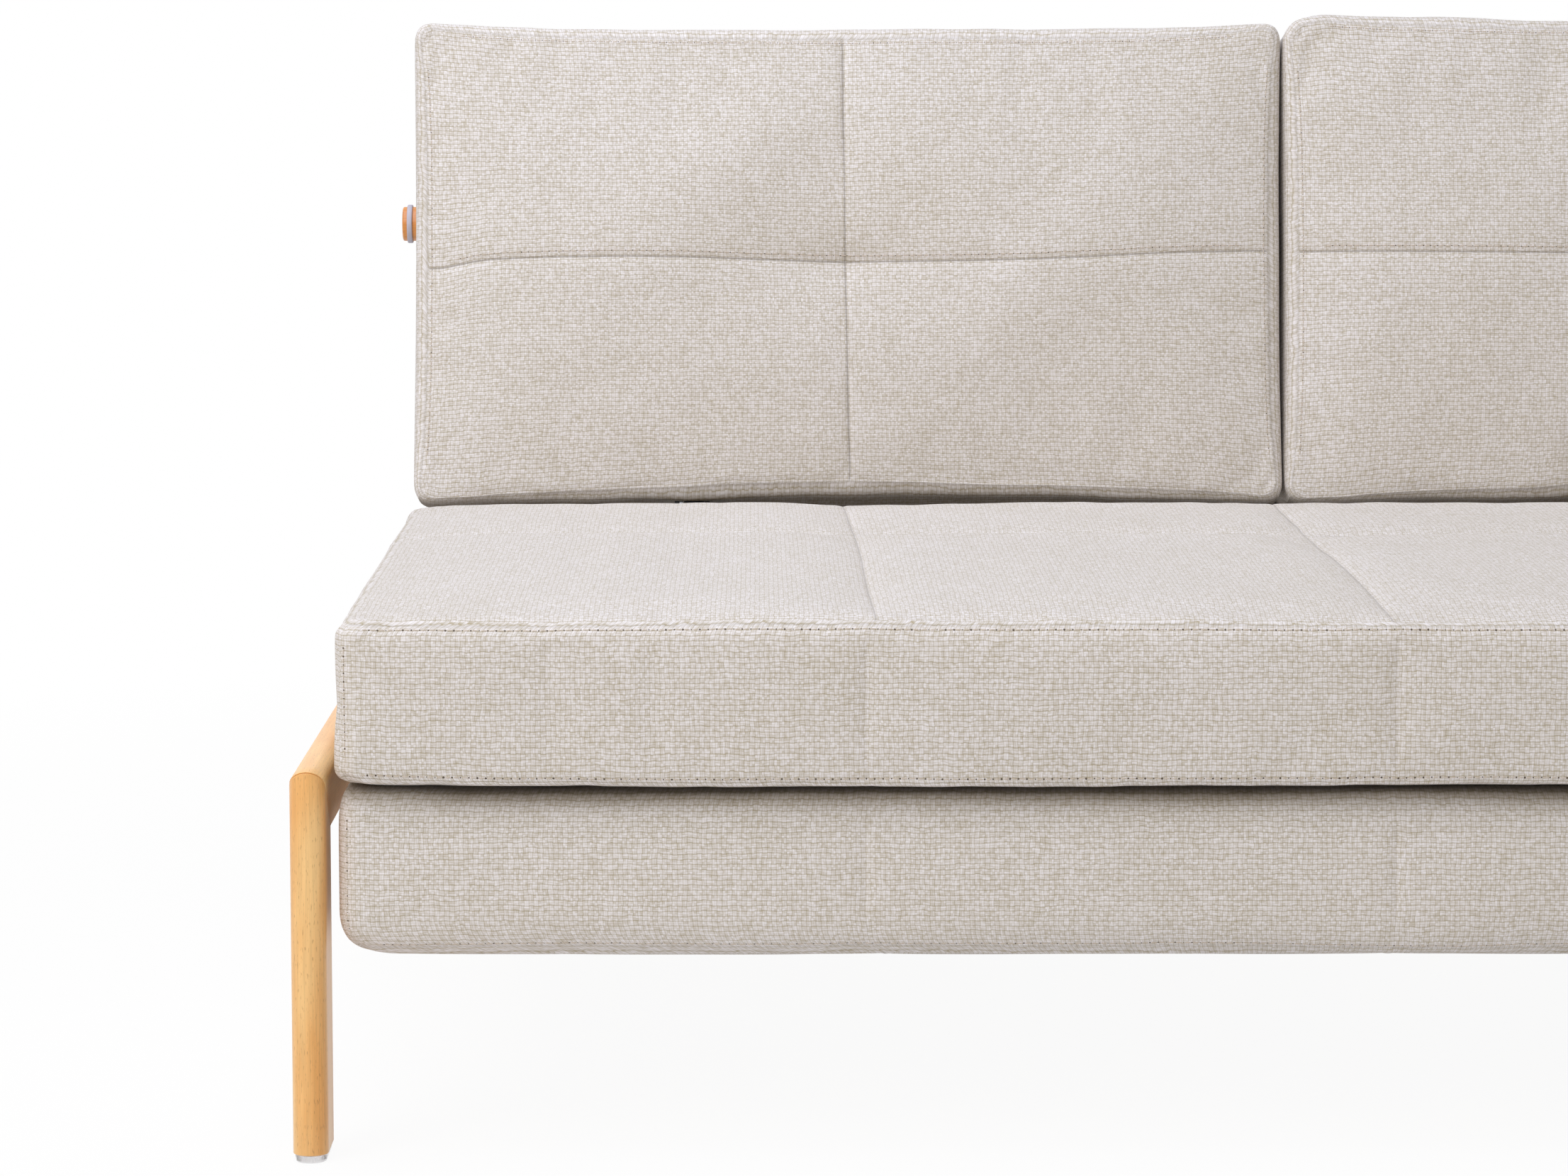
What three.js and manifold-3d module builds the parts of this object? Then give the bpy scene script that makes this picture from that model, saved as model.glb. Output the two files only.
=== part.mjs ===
// A two-seat sofa bed with a fold-out lower layer and a back that clicks down flat.
// Millimetres, +X to the right as seen from the front, +Y to the back, +Z up.
// Heights are measured from the floor. Depths are measured from the front face of the seat
// and moved at the end, so that the origin lies on the floor below the middle of the object.
import * as THREE from 'three';
import { mergeVertices } from 'three/addons/utils/BufferGeometryUtils.js';
import Module from 'manifold-3d';

const wasm = await Module();
wasm.setup();

// Seat layers
const seatWidth = 1480;
const seatDepth = 760;
const seatHeight = 380; // front top seam of the upper layer
const upperThickness = 114;
const lowerThickness = 118;
const layerGap = 4;
const lowerSideInset = 1;
const wrap = 8; // cover cloth with its fibre wrap
const planRound = 16;
const seamRound = 14;
const lowerBottomRound = 28;
const crown = 9;
const lowerCrown = 6;
const crownPower = 6;
const rearRise = 7; // the seat top climbs this much from front to back
const seatSeamShares = [-0.25, 0, 0.25]; // seams across the seat's width
const crossSeam = 512;
const grooveDepth = 2.5;
const grooveHalf = 14;
const topWrap = 9; // cloth and wrap over the upper foam
const lowerCavityInset = 17;
const layerPull = 2; // how far the sides draw in between the corners
const lipWidth = 48; // cloth turned under round the edge of each open side

// Steel frames of the layers
const tubeSize = 20;
const tubeWall = 1.5;
const frameGap = 0.4; // between pieces that touch
const frontTubePlace = 50;
const rearTubeInset = 20;
const frameSideInset = 12; // side tube's outer face inside the cover's outer face
const earPlace = 400;
const earLength = 36;
const earThickness = 3;
const earReach = 19; // how far the ear reaches over the rail
const slatThickness = 8;
const slatWidth = 46;
const slatCount = 10;
const tapeWidth = 30;
const tapeThickness = 2;
const tapeShares = [-0.5, 0.5]; // tapes across half the slats' length

// Wooden side frames
const woodWidth = 25;
const legDepth = 54;
const railDepth = 48;
const woodRound = 12; // how far the rounded edge bows out
const legProud = 9; // leg front ahead of the seat front
const railRise = 11.5; // rail crown above the upper layer's underside
const woodClearance = 7; // between the seat's side and the wood
const rearReach = 117; // rear leg's back behind the seat's rear face
const mitreGap = 0.4;
const glideHeight = 5.5;
const glideInset = 1;
const glideTaperShare = 0.93;

// Rear stretcher and lift pivot
const stretcherHeight = 150;
const stretcherRadius = 12.5;
const stretcherBore = 11;
const stretcherVent = 3;
const flangeRadius = 24;
const flangeThickness = 4;
const liftPivotHeight = 220;
const liftPivotBehind = 90; // pivot behind the seat's rear face
const liftPinRadius = 5;
const pinClearance = 0.3;
const liftArmThickness = 12;
const liftArmWidth = 16;
const liftArmInset = 16; // arm's outer face inside the cover's outer face
const liftEyeRadius = 13;
const liftCrankGap = 4; // between the seat's rear face and the arm
const liftFootHeight = 222;
const pivotPlateThickness = 3;
const pivotPlateHalfWidth = 22;
const pivotPlateHalfHeight = 24;
const pinProud = 4;

// Fold links between the layers
const foldSetback = 17; // pivots behind the front faces
const upperPivotRise = 19; // pivot above the upper layer's underside
const lowerPivotDrop = 17; // pivot below the lower layer's top
const linkOffset = 26; // the link bows backwards past the edges
const linkInset = 140; // link inside the seat's outer face
const linkThickness = 4;
const linkHalfWidth = 4;
const linkEyeRadius = 6;
const linkPinRadius = 3;
const lugThickness = 4;
const lugGap = 0.8;
const lugHalfHeight = 6;
const notchFront = 11;
const notchHalfWidth = 5;

// Support leg of the lower layer
const supportInset = 100; // leg inside the seat's outer face
const supportPivotInset = 60; // pivot ahead of the lower layer's rear face
const supportPivotDrop = 17; // pivot below the lower layer's top
const supportRadius = 8.5;
const supportBarRadius = 7;
const supportBarPlace = 230; // from the pivot
const supportEarThickness = 4;
const supportPinRadius = 4;
const supportFootHeight = 8;
const supportFootRadius = 11;
const supportFloorGap = 0.5;

// Back: everything here is laid out upright about the hinge and then leaned
const backLean = 8.8; // degrees
const hingeBehind = 11; // hinge behind the seat's rear face
const hingeRise = 3; // hinge above the front top seam
const hingeEyeRadius = 8.5;
const cushionHeight = 404;
const cushionThickness = 150;
const cushionGap = 2;
const cushionSideInset = 2; // cushion's side inside the seat's
const cushionAhead = 6; // front face ahead of the hinge
const cushionCornerRound = 26;
const cushionEdgeRound = 16;
const cushionCrown = 12;
const cushionCrownPower = 3;
const cushionPull = 5;
const cushionSeamShare = 0.515; // height of the horizontal seam
const tuftDepth = 11;
const tuftRadius = 70;
const cushionWrap = 9;
const cushionFrontWrap = 25;
const zipLength = 520;
const zipHeight = 40;
const zipOpening = 3;
const armPlace = 500;
const armSize = 17;
const railClearance = 2; // cushion rail past the hinge bracket's foot when the back lies flat
const postSize = 17;
const dowelRadius = 15;
const dowelHeight = 263; // above the hinge
const dowelOverhang = 21; // dowel past the cushion's side
const dowelEdge = 1.5;
const ringWidth = 6;
const ringThickness = 2;
const ringEdgeShare = 0.3;
const ringInset = 4; // dowel left showing outside the ring
const clipThickness = 3;
const clipWidth = 17;
const cheekThickness = 4;
const cheekGap = 0.6;
const discThickness = 3;
const discTeeth = 14;
const discToothDepth = 1.4;
const hingePinRadius = 4;
const webHeight = 20;
const slotSlack = 2;

// Mesh fineness and one overrun for every cut
const arcSegments = 10;
const overrun = 20;
const edgeShares = [0, 0.3, 1, 2.4];
const sheetStep = 126; // a soft face is halved where its stations lie further apart
const middleShare = 0.5;
const sheetSegments = 24;

// Finishes: colour, roughness, metalness
const cloth = [0xd2c9c0, 0.95, 0];
const foam = [0xefe6c8, 0.9, 0];
const beech = [0xdfae74, 0.5, 0];
const birch = [0xe6cfa4, 0.6, 0];
const blackSteel = [0x2c2c2e, 0.45, 0.8];
const zincSteel = [0xb4b6b8, 0.35, 1];
const clearPlastic = [0xe4e4e6, 0.25, 0];
const paleRubber = [0xc9c7cf, 0.7, 0];
const blackRubber = [0x1d1d1d, 0.85, 0];

// Values worked out from the sizes above
const half = (value) => value / 2;
const middle = (low, high) => half(low + high);
const halfSeat = half(seatWidth);
const rearTubePlace = seatDepth - rearTubeInset - tubeSize;
const liftPivotPlace = seatDepth + liftPivotBehind;
const linkPlace = halfSeat - linkInset;
const supportPlace = halfSeat - supportInset;
const supportPivotPlace = seatDepth - supportPivotInset;
const upperBottom = seatHeight - upperThickness;
const lowerTop = upperBottom - layerGap;
const lowerBottom = lowerTop - lowerThickness;
const supportPivotHeight = lowerTop - supportPivotDrop;
const halfLower = halfSeat - lowerSideInset;
const woodInner = halfSeat + woodClearance;
const woodMiddle = woodInner + half(woodWidth);
const railTop = upperBottom + railRise;
const frameFront = -legProud;
const frameBack = seatDepth + rearReach;
const hinge = new THREE.Vector3(0, seatDepth + hingeBehind, seatHeight + hingeRise);
const cushionWidth = halfSeat - cushionSideInset - half(cushionGap);
const cushionBottom = hingeEyeRadius + frameGap;
const cushionBack = cushionThickness - cushionAhead;
const clipRadius = dowelRadius + frameGap + clipThickness;
const dowelPlace = cushionBack + frameGap + clipRadius;
const dowelHalfLength = half(cushionGap) + cushionWidth + dowelOverhang;
const ringPlace = dowelHalfLength - ringInset - half(ringWidth);
const postFront = dowelPlace - half(postSize);
const postBack = dowelPlace + half(postSize);
const clipOpening = half(postSize) + frameGap; // half the gap in the clip, round the post
const upperPivotHeight = upperBottom + upperPivotRise;
const lowerPivotHeight = lowerTop - lowerPivotDrop;
const upperCavityTop = seatHeight - topWrap;
const upperLipTop = upperBottom + wrap;
const lowerLipBottom = lowerTop - wrap;
const upperTubeBottom = upperLipTop + frameGap;
const upperTubeTop = upperTubeBottom + tubeSize;
const lowerTubeTop = lowerLipBottom - frameGap;
const lowerTubeBottom = lowerTubeTop - tubeSize;
const innerCheek = armPlace - half(armSize) - cheekGap; // bracket faces towards the hinge arm
const outerCheek = armPlace + half(armSize) + cheekGap + discThickness + cheekGap;

// Small tools
const up = new THREE.Vector3(0, 0, 1);
const point = (x, y, z) => new THREE.Vector3(x, y, z);

function solidOf(geometry) {
  const bare = geometry.clone();
  bare.deleteAttribute('normal');
  bare.deleteAttribute('uv');
  const merged = mergeVertices(bare);
  const vertProperties = new Float32Array(merged.getAttribute('position').array);
  const triVerts = new Uint32Array(merged.getIndex().array);
  return new wasm.Manifold(new wasm.Mesh({ numProp: 3, vertProperties, triVerts }));
}

function geometryOf(solid) {
  const mesh = solid.getMesh();
  const geometry = new THREE.BufferGeometry();
  geometry.setAttribute('position', new THREE.BufferAttribute(mesh.vertProperties, mesh.numProp));
  geometry.setIndex(new THREE.BufferAttribute(mesh.triVerts, 1));
  return geometry;
}

function join(...pieces) {
  return geometryOf(pieces.map(solidOf).reduce((whole, piece) => whole.add(piece)));
}

function cut(body, ...tools) {
  return geometryOf(tools.map(solidOf).reduce((rest, tool) => rest.subtract(tool), solidOf(body)));
}

function block(xs, ys, zs) {
  const span = ([low, high]) => Math.abs(high - low);
  const box = new THREE.BoxGeometry(span(xs), span(ys), span(zs));
  box.translate(middle(...xs), middle(...ys), middle(...zs));
  return box;
}

function along(outline, from, to) {
  const way = to.clone().sub(from);
  const settings = { depth: way.length(), bevelEnabled: false, curveSegments: arcSegments };
  const geometry = new THREE.ExtrudeGeometry(outline, settings);
  geometry.applyQuaternion(new THREE.Quaternion().setFromUnitVectors(up, way.normalize()));
  geometry.translate(from.x, from.y, from.z);
  return geometry;
}

function polygon(corners) {
  return new THREE.Shape(corners.map(([a, b]) => new THREE.Vector2(a, b)));
}

function square(size) {
  const edge = half(size);
  return polygon([[-edge, -edge], [edge, -edge], [edge, edge], [-edge, edge]]);
}

function circle(radius, bore = 0) {
  const shape = new THREE.Shape().absarc(0, 0, radius, 0, Math.PI * 2);
  if (bore > 0) shape.holes.push(new THREE.Path().absarc(0, 0, bore, 0, Math.PI * 2));
  return shape;
}

function squareTube(from, to, size = tubeSize) {
  const outline = square(size);
  outline.holes.push(square(size - tubeWall * 2));
  return along(outline, from, to);
}

const past = (xs) => [Math.min(...xs) - overrun, Math.max(...xs) + overrun];
const roundBar = (from, to, radius, bore = 0) => along(circle(radius, bore), from, to);

// A plate that lies in the plane of depth and height and is thick across.
function plateAcross(corners, xs) {
  const [low, high] = [Math.min(...xs), Math.max(...xs)];
  const settings = { depth: high - low, bevelEnabled: false };
  const geometry = new THREE.ExtrudeGeometry(polygon(corners), settings);
  const turn = new THREE.Matrix4().makeBasis(point(0, 1, 0), point(0, 0, 1), point(1, 0, 0));
  geometry.applyMatrix4(turn);
  geometry.translate(low, 0, 0);
  return geometry;
}

const pinAcross = (radius, xs, y, z, bore = 0) =>
  roundBar(point(Math.min(...xs), y, z), point(Math.max(...xs), y, z), radius, bore);

const tubeAcross = (xs, y, z, size) =>
  squareTube(point(Math.min(...xs), y, z), point(Math.max(...xs), y, z), size);

function add(group, name, geometry, [color, roughness, metalness]) {
  const mesh = new THREE.Mesh(geometry, new THREE.MeshStandardMaterial({ color, roughness, metalness }));
  mesh.name = name;
  group.add(mesh);
  return mesh;
}

const sides = [['left', -1], ['right', 1]];
const about = (centre, reachOut) => [centre - reachOut, centre + reachOut];
const reach = (side, near, far) => [side * near, side * far];

// Soft forms: a box divided at its seams, rounded at its edges, crowned and sewn
function stations(low, high, round, seams) {
  const near = edgeShares.map((share) => low + share * round);
  const far = edgeShares.map((share) => high - share * round);
  const sewn = seams.flatMap((place) => [place - grooveHalf, place, place + grooveHalf]);
  const stops = [...near, ...sewn, ...far].sort((a, b) => a - b);
  return stops.flatMap((stop, i) => {
    const next = stops[i + 1];
    return next - stop > sheetStep ? [stop, middle(stop, next)] : [stop];
  });
}

function dividedBox(xs, ys, zs) {
  const counts = [xs, ys, zs].map((list) => list.length - 1);
  const box = new THREE.BoxGeometry(1, 1, 1, ...counts);
  box.deleteAttribute('normal');
  box.deleteAttribute('uv');
  const merged = mergeVertices(box);
  const places = merged.getAttribute('position');
  const pick = (list, share) => list[Math.round((share + middleShare) * (list.length - 1))];
  for (let i = 0; i < places.count; i++) {
    const [x, y, z] = [places.getX(i), places.getY(i), places.getZ(i)];
    places.setXYZ(i, pick(xs, x), pick(ys, y), pick(zs, z));
  }
  return merged;
}

// Turns a square corner of the plan into a quarter round.
function roundCorner(x, y, halfWidth, halfDepth, round) {
  const beyond = (value, limit) => Math.sign(value) * Math.max(Math.abs(value) - limit, 0);
  const dx = beyond(x, halfWidth - round);
  const dy = beyond(y, halfDepth - round);
  const length = Math.hypot(dx, dy);
  if (dx === 0 || dy === 0) return [x, y];
  const share = Math.max(Math.abs(dx), Math.abs(dy)) / length;
  return [x - dx + dx * share, y - dy + dy * share];
}

// How far the outline draws in at a height, for a quarter round at the bottom and at the top.
function edgeInset(z, height, lowRound, highRound) {
  const low = Math.max(lowRound - z, 0);
  const high = Math.max(highRound - (height - z), 0);
  const bow = (round, rest) => round - Math.sqrt(Math.max(round * round - rest * rest, 0));
  return bow(lowRound, low) + bow(highRound, high);
}

function softBox({ width, depth, height, round, lowRound, highRound, pull, seamsX, seamsY, lift }) {
  const rising = edgeShares.slice(0, 3).map((share) => share * lowRound);
  const falling = edgeShares.slice(0, 3).map((share) => height - share * highRound).reverse();
  const xs = stations(-half(width), half(width), round, seamsX);
  const ys = stations(-half(depth), half(depth), round, seamsY);
  const geometry = dividedBox(xs, ys, [...rising, half(height), ...falling]);
  const places = geometry.getAttribute('position');
  for (let i = 0; i < places.count; i++) {
    const [flatX, flatY, z] = [places.getX(i), places.getY(i), places.getZ(i)];
    const [x, y] = roundCorner(flatX, flatY, half(width), half(depth), round);
    const inset = edgeInset(z, height, lowRound, highRound);
    const acrossShare = 1 - (y / half(depth)) ** 2;
    const alongShare = 1 - (x / half(width)) ** 2;
    const scaleX = 1 - (inset + pull * acrossShare) / half(width);
    const scaleY = 1 - (inset + pull * alongShare) / half(depth);
    places.setXYZ(i, x * scaleX, y * scaleY, z + lift(x, y, z));
  }
  return geometry;
}

const fade = (value, limit, power) => 1 - Math.min(Math.abs(value / limit), 1) ** power;
const groove = (distance) => -grooveDepth * Math.max(1 - Math.abs(distance) / grooveHalf, 0);

const seatSeamsX = seatSeamShares.map((share) => share * seatWidth);
const crossSeamY = crossSeam - half(seatDepth);

function layerLift(x, y, height) {
  const sewn = [...seatSeamsX.map((place) => x - place), y - crossSeamY].map(groove);
  const shape = fade(x, halfSeat, crownPower) * fade(y, half(seatDepth), crownPower);
  return shape * (height + Math.min(...sewn));
}

const cushionSeamY = cushionHeight * (cushionSeamShare - middleShare);

function backLift(x, y) {
  const across = fade(x, half(cushionWidth), cushionCrownPower);
  const shape = across * fade(y, half(cushionHeight), cushionCrownPower);
  const tuft = tuftDepth * Math.exp(-(x * x + (y - cushionSeamY) ** 2) / tuftRadius ** 2);
  return shape * (cushionCrown - tuft + Math.min(groove(x), groove(y - cushionSeamY)));
}

// Upper seat layer
function upperCoverForm() {
  const form = softBox({
    width: seatWidth, depth: seatDepth, height: upperThickness, round: planRound,
    lowRound: seamRound, highRound: seamRound, pull: layerPull,
    seamsX: seatSeamsX, seamsY: [crossSeamY],
    lift: (x, y, z) => {
      const climb = (z / upperThickness) * rearRise * (y / seatDepth + middleShare);
      return climb + (z < upperThickness ? 0 : layerLift(x, y, crown));
    },
  });
  form.translate(0, half(seatDepth), upperBottom);
  return form;
}

const linkNotch = (side, zs) => block(
  reach(side, linkPlace - notchHalfWidth, linkPlace + notchHalfWidth),
  [notchFront, lipWidth + notchFront],
  zs,
);

function upperCover() {
  const inside = halfSeat - wrap;
  const cavity = block([-inside, inside], [wrap, seatDepth - wrap], [upperLipTop, upperCavityTop]);
  const mouthX = halfSeat - lipWidth;
  const mouthZ = [upperBottom - overrun, upperLipTop + wrap];
  const mouth = block([-mouthX, mouthX], [lipWidth, seatDepth - lipWidth], mouthZ);
  const throughRear = [seatDepth - wrap * 2, seatDepth + overrun];
  const openings = sides.flatMap(([, side]) => {
    const armFar = halfSeat - liftArmInset + slotSlack;
    const armNear = armFar - liftArmThickness - slotSlack * 2;
    const slotTop = upperTubeTop + slotSlack;
    const bracketFar = outerCheek + cheekThickness + slotSlack;
    const bracketNear = innerCheek - cheekThickness - slotSlack;
    return [
      linkNotch(side, mouthZ),
      block(reach(side, armNear, armFar), throughRear, [upperLipTop, slotTop]),
      block(reach(side, bracketNear, bracketFar), throughRear, [upperLipTop, slotTop]),
      block(
        reach(side, inside - wrap, halfSeat + overrun),
        about(earPlace, half(earLength) + slotSlack),
        [railTop - frameGap, railTop + frameGap + earThickness + slotSlack],
      ),
    ];
  });
  return cut(upperCoverForm(), cavity, mouth, ...openings);
}

// Slats across the layer on two tapes that run through slots at half their thickness.
function slatMat(halfWidth, bottom) {
  const first = frontTubePlace;
  const step = (rearTubePlace + tubeSize - slatWidth - first) / (slatCount - 1);
  const zs = [bottom, bottom + slatThickness];
  const tapeBottom = bottom + half(slatThickness - tapeThickness);
  const slats = Array.from({ length: slatCount }, (_, i) =>
    block([-halfWidth, halfWidth], [first + i * step, first + i * step + slatWidth], zs));
  const tapes = tapeShares.map((share) => block(
    about(share * halfWidth, half(tapeWidth)),
    [first, first + (slatCount - 1) * step + slatWidth],
    [tapeBottom, tapeBottom + tapeThickness],
  ));
  return join(...slats, ...tapes);
}

const lug = (side, height) => {
  const near = linkPlace + half(linkThickness) + lugGap;
  const xs = reach(side, near, near + lugThickness);
  const plate = block(xs, [foldSetback, frontTubePlace + tubeWall], about(height, lugHalfHeight));
  const eye = pinAcross(linkEyeRadius, xs, foldSetback, height);
  const pinXs = reach(side, linkPlace - half(linkThickness) - pinProud, near + half(lugThickness));
  return [plate, eye, pinAcross(linkPinRadius, pinXs, foldSetback, height)];
};

function frontTube(halfLength, bottom, pivotHeight) {
  const tube = crossTube(halfLength, frontTubePlace, bottom);
  return join(tube, ...sides.flatMap(([, side]) => lug(side, pivotHeight)));
}

function sideTube(side, outer, bottom, withEar) {
  const x = side * (outer - half(tubeSize));
  const z = bottom + half(tubeSize);
  const tube = squareTube(point(x, frontTubePlace, z), point(x, rearTubePlace + tubeSize, z));
  if (!withEar) return tube;
  const low = railTop + frameGap;
  const ear = block(
    reach(side, outer - tubeWall, woodInner + earReach),
    about(earPlace, half(earLength)),
    [low, low + earThickness],
  );
  return join(tube, ear);
}

function crossTube(halfLength, y, bottom) {
  return tubeAcross([-halfLength, halfLength], y + half(tubeSize), bottom + half(tubeSize), tubeSize);
}

function middleTube(bottom) {
  const z = bottom + half(tubeSize);
  return squareTube(
    point(0, frontTubePlace + tubeSize + frameGap, z),
    point(0, rearTubePlace - frameGap, z),
  );
}

// A cranked arm: back out of the seat, down behind it, and back again to the lift pivot.
function liftArm(side) {
  const far = halfSeat - liftArmInset;
  const xs = reach(side, far - liftArmThickness, far);
  const top = upperTubeTop - tubeWall - frameGap;
  const start = rearTubePlace + tubeSize + frameGap;
  const crankFront = seatDepth + liftCrankGap;
  const crankBack = crankFront + liftArmWidth;
  const footTop = liftFootHeight + half(liftArmWidth);
  const footBottom = liftFootHeight - half(liftArmWidth);
  const plate = plateAcross([
    [start, top - liftArmWidth], [crankFront, top - liftArmWidth], [crankFront, footBottom],
    [liftPivotPlace, footBottom], [liftPivotPlace, footTop], [crankBack, footTop],
    [crankBack, top], [start, top],
  ], xs);
  const eye = pinAcross(liftEyeRadius, xs, liftPivotPlace, liftPivotHeight);
  const bore = pinAcross(liftPinRadius + pinClearance, past(xs), liftPivotPlace, liftPivotHeight);
  return cut(join(plate, eye), bore);
}

// Two cheeks and a web that carry the back's hinge pin just behind the seat.
function hingeBracket(side) {
  const cheekFront = hinge.y - hingeEyeRadius;
  const cheekBack = hinge.y + hingeEyeRadius;
  const start = rearTubePlace + tubeSize + frameGap;
  const pieces = [
    [innerCheek - cheekThickness, innerCheek],
    [outerCheek, outerCheek + cheekThickness],
  ].flatMap(([near, far]) => [
    block(reach(side, near, far), [start, cheekBack], [upperTubeBottom, upperTubeBottom + webHeight]),
    block(reach(side, near, far), [cheekFront, cheekBack], [upperTubeBottom, hinge.z]),
    pinAcross(hingeEyeRadius, reach(side, near, far), hinge.y, hinge.z),
  ]);
  const web = block(
    reach(side, innerCheek - cheekThickness, outerCheek + cheekThickness),
    [start, cheekFront - cheekThickness],
    [upperTubeBottom, upperTubeBottom + webHeight],
  );
  const pinXs = reach(side, innerCheek - half(cheekThickness), outerCheek + half(cheekThickness));
  return join(...pieces, web, pinAcross(hingePinRadius, pinXs, hinge.y, hinge.z));
}

function ratchetDisc(side) {
  const near = armPlace + half(armSize) + cheekGap;
  const xs = reach(side, near + half(cheekGap), near + half(cheekGap) + discThickness);
  const teeth = Array.from({ length: discTeeth * 2 }, (_, i) => {
    const angle = (i / (discTeeth * 2)) * Math.PI * 2;
    const radius = hingeEyeRadius - (i % 2 ? discToothDepth : 0);
    return [hinge.y + radius * Math.cos(angle), hinge.z + radius * Math.sin(angle)];
  });
  const bore = pinAcross(hingePinRadius + pinClearance, past(xs), hinge.y, hinge.z);
  return cut(plateAcross(teeth, xs), bore);
}

function buildUpperLayer() {
  const group = new THREE.Group();
  const outer = halfSeat - frameSideInset;
  const cross = outer - tubeSize - frameGap;
  const slatBottom = upperTubeTop + frameGap;
  const foamBottom = slatBottom + slatThickness + frameGap;
  const inside = halfSeat - wrap - frameGap;
  add(group, 'seat_cover', upperCover(), cloth);
  const foamSpan = [wrap + frameGap, seatDepth - wrap - frameGap];
  add(group, 'seat_foam', block([-inside, inside], foamSpan, [foamBottom, upperCavityTop - frameGap]), foam);
  add(group, 'seat_slats', slatMat(outer, slatBottom), birch);
  add(group, 'seat_front_tube', frontTube(cross, upperTubeBottom, upperPivotHeight), blackSteel);
  add(group, 'seat_rear_tube', crossTube(cross, rearTubePlace, upperTubeBottom), blackSteel);
  add(group, 'seat_middle_tube', middleTube(upperTubeBottom), blackSteel);
  for (const [word, side] of sides) {
    add(group, `seat_side_tube_${word}`, sideTube(side, outer, upperTubeBottom, true), blackSteel);
    add(group, `lift_arm_${word}`, liftArm(side), blackSteel);
    add(group, `hinge_bracket_${word}`, hingeBracket(side), blackSteel);
    add(group, `ratchet_disc_${word}`, ratchetDisc(side), zincSteel);
  }
  return group;
}

// Fold links: a bowed plate that carries the lower layer round the front edge
function foldLink(side) {
  const xs = about(side * linkPlace, half(linkThickness));
  const back = foldSetback + linkOffset;
  const [high, low] = [upperPivotHeight, lowerPivotHeight];
  const w = linkHalfWidth;
  const plate = plateAcross([
    [foldSetback, high + w], [foldSetback, high - w], [back - w, high - w], [back - w, low + w],
    [foldSetback, low + w], [foldSetback, low - w], [back + w, low - w], [back + w, high + w],
  ], xs);
  const eyes = [high, low].map((z) => pinAcross(linkEyeRadius, xs, foldSetback, z));
  const bores = [high, low].map((z) => pinAcross(linkPinRadius + pinClearance, past(xs), foldSetback, z));
  return cut(join(plate, ...eyes), ...bores);
}

// Lower seat layer
function lowerCover() {
  const form = softBox({
    width: halfLower * 2, depth: seatDepth, height: lowerThickness, round: planRound,
    lowRound: lowerBottomRound, highRound: seamRound, pull: layerPull,
    seamsX: seatSeamsX, seamsY: [crossSeamY],
    lift: (x, y, z) => (z > 0 ? 0 : -layerLift(x, y, lowerCrown)),
  });
  form.translate(0, half(seatDepth), lowerBottom);
  const inside = halfLower - wrap;
  const cavityZ = [lowerBottom + lowerCavityInset, lowerLipBottom];
  const cavity = block([-inside, inside], [wrap, seatDepth - wrap], cavityZ);
  const mouthX = halfLower - lipWidth;
  const mouthZ = [lowerLipBottom - wrap, lowerTop + overrun];
  const mouth = block([-mouthX, mouthX], [lipWidth, seatDepth - lipWidth + half(wrap)], mouthZ);
  return cut(form, cavity, mouth, ...sides.map(([, side]) => linkNotch(side, mouthZ)));
}

function lowerRearTube(halfLength) {
  const ears = sides.flatMap(([, side]) => {
    const near = supportPlace + supportRadius + frameGap;
    const xs = reach(side, near, near + supportEarThickness);
    const plate = block(xs, [supportPivotPlace, rearTubePlace + tubeWall], [lowerTubeBottom, lowerTubeTop]);
    const eye = pinAcross(supportRadius, xs, supportPivotPlace, supportPivotHeight);
    const pinXs = reach(side, supportPlace - supportRadius - pinProud, near + half(supportEarThickness));
    return [plate, eye, pinAcross(supportPinRadius, pinXs, supportPivotPlace, supportPivotHeight)];
  });
  return join(crossTube(halfLength, rearTubePlace, lowerTubeBottom), ...ears);
}

function buildLowerLayer() {
  const group = new THREE.Group();
  const outer = halfLower - frameSideInset;
  const cross = outer - tubeSize - frameGap;
  const slatBottom = lowerTubeBottom - frameGap - slatThickness;
  const inside = halfLower - wrap - frameGap;
  const foamZ = [lowerBottom + lowerCavityInset + frameGap, slatBottom - frameGap];
  add(group, 'lower_cover', lowerCover(), cloth);
  const foamSpan = [wrap + frameGap, seatDepth - wrap - frameGap];
  add(group, 'lower_foam', block([-inside, inside], foamSpan, foamZ), foam);
  add(group, 'lower_slats', slatMat(outer, slatBottom), birch);
  add(group, 'lower_front_tube', frontTube(cross, lowerTubeBottom, lowerPivotHeight), blackSteel);
  add(group, 'lower_rear_tube', lowerRearTube(cross), blackSteel);
  for (const [word, side] of sides) {
    add(group, `lower_side_tube_${word}`, sideTube(side, outer, lowerTubeBottom, false), blackSteel);
  }
  return group;
}

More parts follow.
